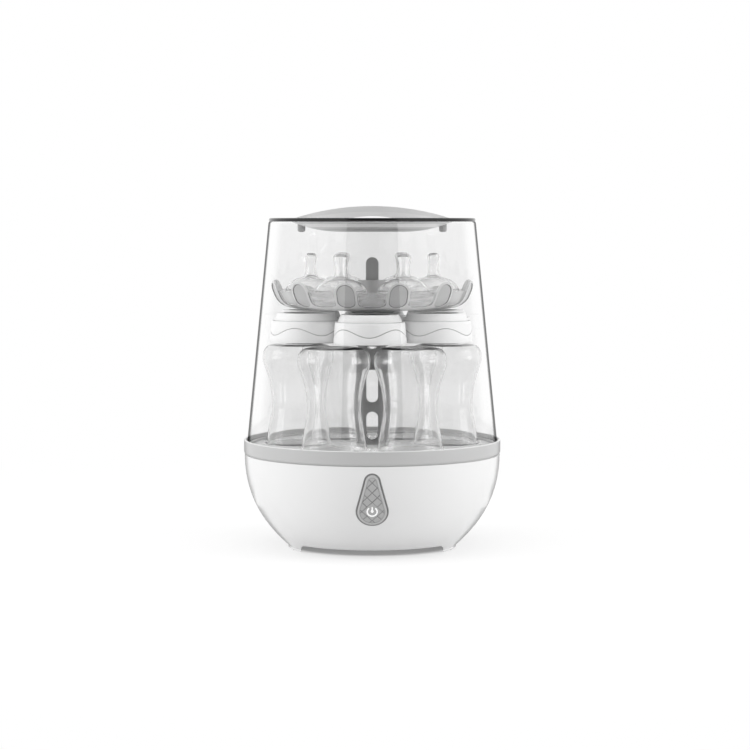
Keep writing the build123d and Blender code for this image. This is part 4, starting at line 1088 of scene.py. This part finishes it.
ring_start = math.pi / 2 + SYMBOL_OPEN
ring_end = ring_start + TAU - 2 * SYMBOL_OPEN
bar_foot = SYMBOL_UP + BAR_START
ring_line = symbol_arc(SYMBOL_RADIUS, SYMBOL_UP, ring_start, ring_end, RING_STEPS + 1, RING_STEPS)
bar_line = [(0.0, bar_foot + BAR_LENGTH * k / BAR_STEPS) for k in range(BAR_STEPS + 1)]
dot_line = symbol_arc(DOT_RADIUS, bar_foot, 0.0, TAU, DOT_STEPS, DOT_STEPS)
for name, line, width, closed in (
    ("symbol_ring", ring_line, RING_WIDTH, False),
    ("symbol_bar", bar_line, BAR_WIDTH, False),
    ("symbol_dot", dot_line, BAR_WIDTH, True),
):
    piece(name, ribbon(name, line, width, closed), "button", [MARK_WHITE_PAINTED_GLOW])


# Stage, in metres
FLOOR_HALF = 6.0
FLOOR_SCALE = 3.0
FLOOR_TONES = (grey(0.78), grey(0.80))
FLOOR_LIFT = 0.22
FLOOR_WHITE = (0.30, 0.85)
# Close round the object the floor keeps its real shadow inside a squeezed circle; further out a white glow
# covers most of that shadow, and the glow is tinted with painted shade that fades to white
POOL_SQUEEZE = (0.84, 1.0, 1.0)
POOL_EDGE = (0.059, 0.073)
POOL_WHITE = 0.66
POOL_REACH = (0.07, 0.20)
POOL_PAINTED_SHADE = 0.93


def plane(name, corners, material):
    mesh = bpy.data.meshes.new(name)
    mesh.from_pydata(corners, [], [(0, 1, 2, 3)])
    mesh.materials.append(material)
    made = bpy.data.objects.new(name, mesh)
    bpy.context.scene.collection.objects.link(made)
    return made


def emission(tree, strength=1.0):
    made = node(tree, "ShaderNodeEmission")
    made.inputs["Strength"].default_value = strength
    return made


def floor_material():
    """Pale floor: dark with the object's shadow close under it; round it a white glow covers most of that
    shadow, with painted shade that fades out; plain white far out.
    """
    material, tree = new_material("pale_floor")
    coords = object_coordinates(tree)
    base = node(tree, "ShaderNodeBsdfDiffuse")
    tone = noise(tree, coords, FLOOR_SCALE)
    link(tree, blend_colour(tree, tone, *FLOOR_TONES), base.inputs["Color"])
    lit = node(tree, "ShaderNodeAddShader")
    link(tree, base.outputs[0], lit.inputs[0])
    link(tree, emission(tree, FLOOR_LIFT).outputs[0], lit.inputs[1])
    away = length_of(tree, coords)
    squeezed = node(tree, "ShaderNodeVectorMath")
    squeezed.operation = "MULTIPLY"
    squeezed.inputs[1].default_value = POOL_SQUEEZE
    link(tree, coords, squeezed.inputs[0])
    painted_glow = emission(tree)
    reach = remap(tree, away, *POOL_REACH, POOL_PAINTED_SHADE, 1.0)
    link(tree, blend_colour(tree, reach, grey(0.0), grey(1.0)), painted_glow.inputs["Color"])
    pool = remap(tree, length_of(tree, squeezed.outputs[0]), *POOL_EDGE, 0.0, POOL_WHITE, smooth=True)
    near = mix_shaders(tree, pool, lit.outputs[0], painted_glow.outputs[0])
    white = remap(tree, away, *FLOOR_WHITE, 0.0, 1.0, smooth=True)
    far = mix_shaders(tree, white, near, emission(tree).outputs[0])
    finish_material(tree, mix_shaders(tree, backdrop_rays(tree), base.outputs[0], far))
    return material


def flat_colour(name, tone):
    material, tree = new_material(name)
    shade = node(tree, "ShaderNodeBsdfDiffuse")
    shade.inputs["Color"].default_value = (*grey(tone), 1)
    finish_material(tree, shade.outputs[0])
    return material


def dark_card(name, corners, material):
    """Dark card that is seen in reflections only."""
    card = plane(name, corners, material)
    card.visible_camera = False
    card.visible_diffuse = False
    card.visible_shadow = False
    card.visible_transmission = False


def standing(start, end, foot, top):
    """Corners of an upright rectangle over the line from start to end."""
    return [(*start, foot), (*end, foot), (*end, top), (*start, top)]


floor_corners = [(x * FLOOR_HALF, y * FLOOR_HALF, 0) for x, y in ((-1, -1), (1, -1), (1, 1), (-1, 1))]
plane("floor", floor_corners, floor_material())

# The card behind the camera gives the bowl's and the cover's dark side lines, and the flags and mats behind
# the object give the bowl's dark lower sides
CARD_AWAY = 3.2
CARD_SPREAD = 27.8
CARD_HALF = CARD_AWAY * math.tan(math.radians(CARD_SPREAD))
CARD_FOOT = -0.2
CARD_TOP = 4.0
FLAG_AWAY = 0.16
FLAG_NEAR = 0.07
FLAG_FAR = 0.22
FLAG_TOP = 0.105
MAT_NEAR = 0.08
MAT_FAR = 0.16
MAT_FRONT = -0.02
MAT_FAR_FRONT = 0.05
MAT_HEIGHT = 0.001
mat_corners = ((MAT_NEAR, MAT_FRONT), (MAT_FAR, MAT_FAR_FRONT), (MAT_FAR, FLAG_AWAY), (MAT_NEAR, FLAG_AWAY))
card_material = flat_colour("dark_card", 0.02)
mat_material = flat_colour("grey_flag", 0.1)
card_ends = (-CARD_HALF, -CARD_AWAY), (CARD_HALF, -CARD_AWAY)
dark_card("dark_card", standing(*card_ends, CARD_FOOT, CARD_TOP), card_material)
for side, word in ((-1, "left"), (1, "right")):
    flag_ends = (side * FLAG_NEAR, FLAG_AWAY), (side * FLAG_FAR, FLAG_AWAY)
    dark_card(f"dark_flag_{word}", standing(*flag_ends, 0.0, FLAG_TOP), card_material)
    dark_card(f"dark_mat_{word}", [(side * x, y, MAT_HEIGHT) for x, y in mat_corners], mat_material)


# Light
SKY_LIGHT = 0.48
# Name, place, aim, size and power of each area light
SOFTBOXES = (
    ("soft_left", (-2.4, -0.45, 0.9), (0, 0, 0.15), (1.6, 2.0), 35.0),
    ("soft_right", (2.4, -0.45, 0.9), (0, 0, 0.15), (1.6, 2.0), 35.0),
    ("soft_top", (0, -0.4, 2.6), (0, 0, 0.1), (2.4, 2.4), 30.0),
)


def background(tree, strength):
    made = node(tree, "ShaderNodeBackground")
    made.inputs["Color"].default_value = (*grey(1.0), 1)
    made.inputs["Strength"].default_value = strength
    return made.outputs[0]


def softbox(name, stand, aim, size, power):
    """Area light at a point, turned to another one, and not mirrored in the object."""
    lamp = bpy.data.lights.new(name, "AREA")
    lamp.shape = "RECTANGLE"
    lamp.size, lamp.size_y = size
    lamp.energy = power
    made = bpy.data.objects.new(name, lamp)
    made.location = stand
    made.rotation_euler = (Vector(aim) - Vector(stand)).to_track_quat("-Z", "Y").to_euler()
    bpy.context.scene.collection.objects.link(made)
    made.visible_glossy = False


world = bpy.data.worlds.new("studio")
bpy.context.scene.world = world
world.use_nodes = True
sky = world.node_tree
sky.nodes.clear()
sky_out = node(sky, "ShaderNodeOutputWorld")
sky_mix = mix_shaders(sky, backdrop_rays(sky), background(sky, SKY_LIGHT), background(sky, 1.0))
link(sky, sky_mix, sky_out.inputs["Surface"])
for softbox_facts in SOFTBOXES:
    softbox(*softbox_facts)

# Camera, level with the cover's top, as solved from the circles of the rim and of the cover
CAMERA_AWAY = 2.116
CAMERA_PITCH = 4.05
FOCAL = 104.45
SENSOR = 36.0
AXIS_SHIFT = 0.00375
CLIP_NEAR = 0.05
CLIP_FAR = 60.0
camera_data = bpy.data.cameras.new("camera")
camera_data.lens = FOCAL
camera_data.sensor_width = SENSOR
camera_data.shift_x = AXIS_SHIFT
camera_data.clip_start = CLIP_NEAR
camera_data.clip_end = CLIP_FAR
camera = bpy.data.objects.new("camera", camera_data)
camera.location = (0.0, -CAMERA_AWAY, COVER_TOP * MM)
camera.rotation_euler = (math.radians(90.0 - CAMERA_PITCH), 0.0, 0.0)
scene = bpy.context.scene
scene.collection.objects.link(camera)
scene.camera = camera
scene.view_settings.view_transform = "Standard"

# Light passes many clear walls before it reaches the rack and the post
BOUNCES = 24
CLEAR_WALLS = 48
scene.cycles.max_bounces = BOUNCES
scene.cycles.transmission_bounces = BOUNCES
scene.cycles.transparent_max_bounces = CLEAR_WALLS
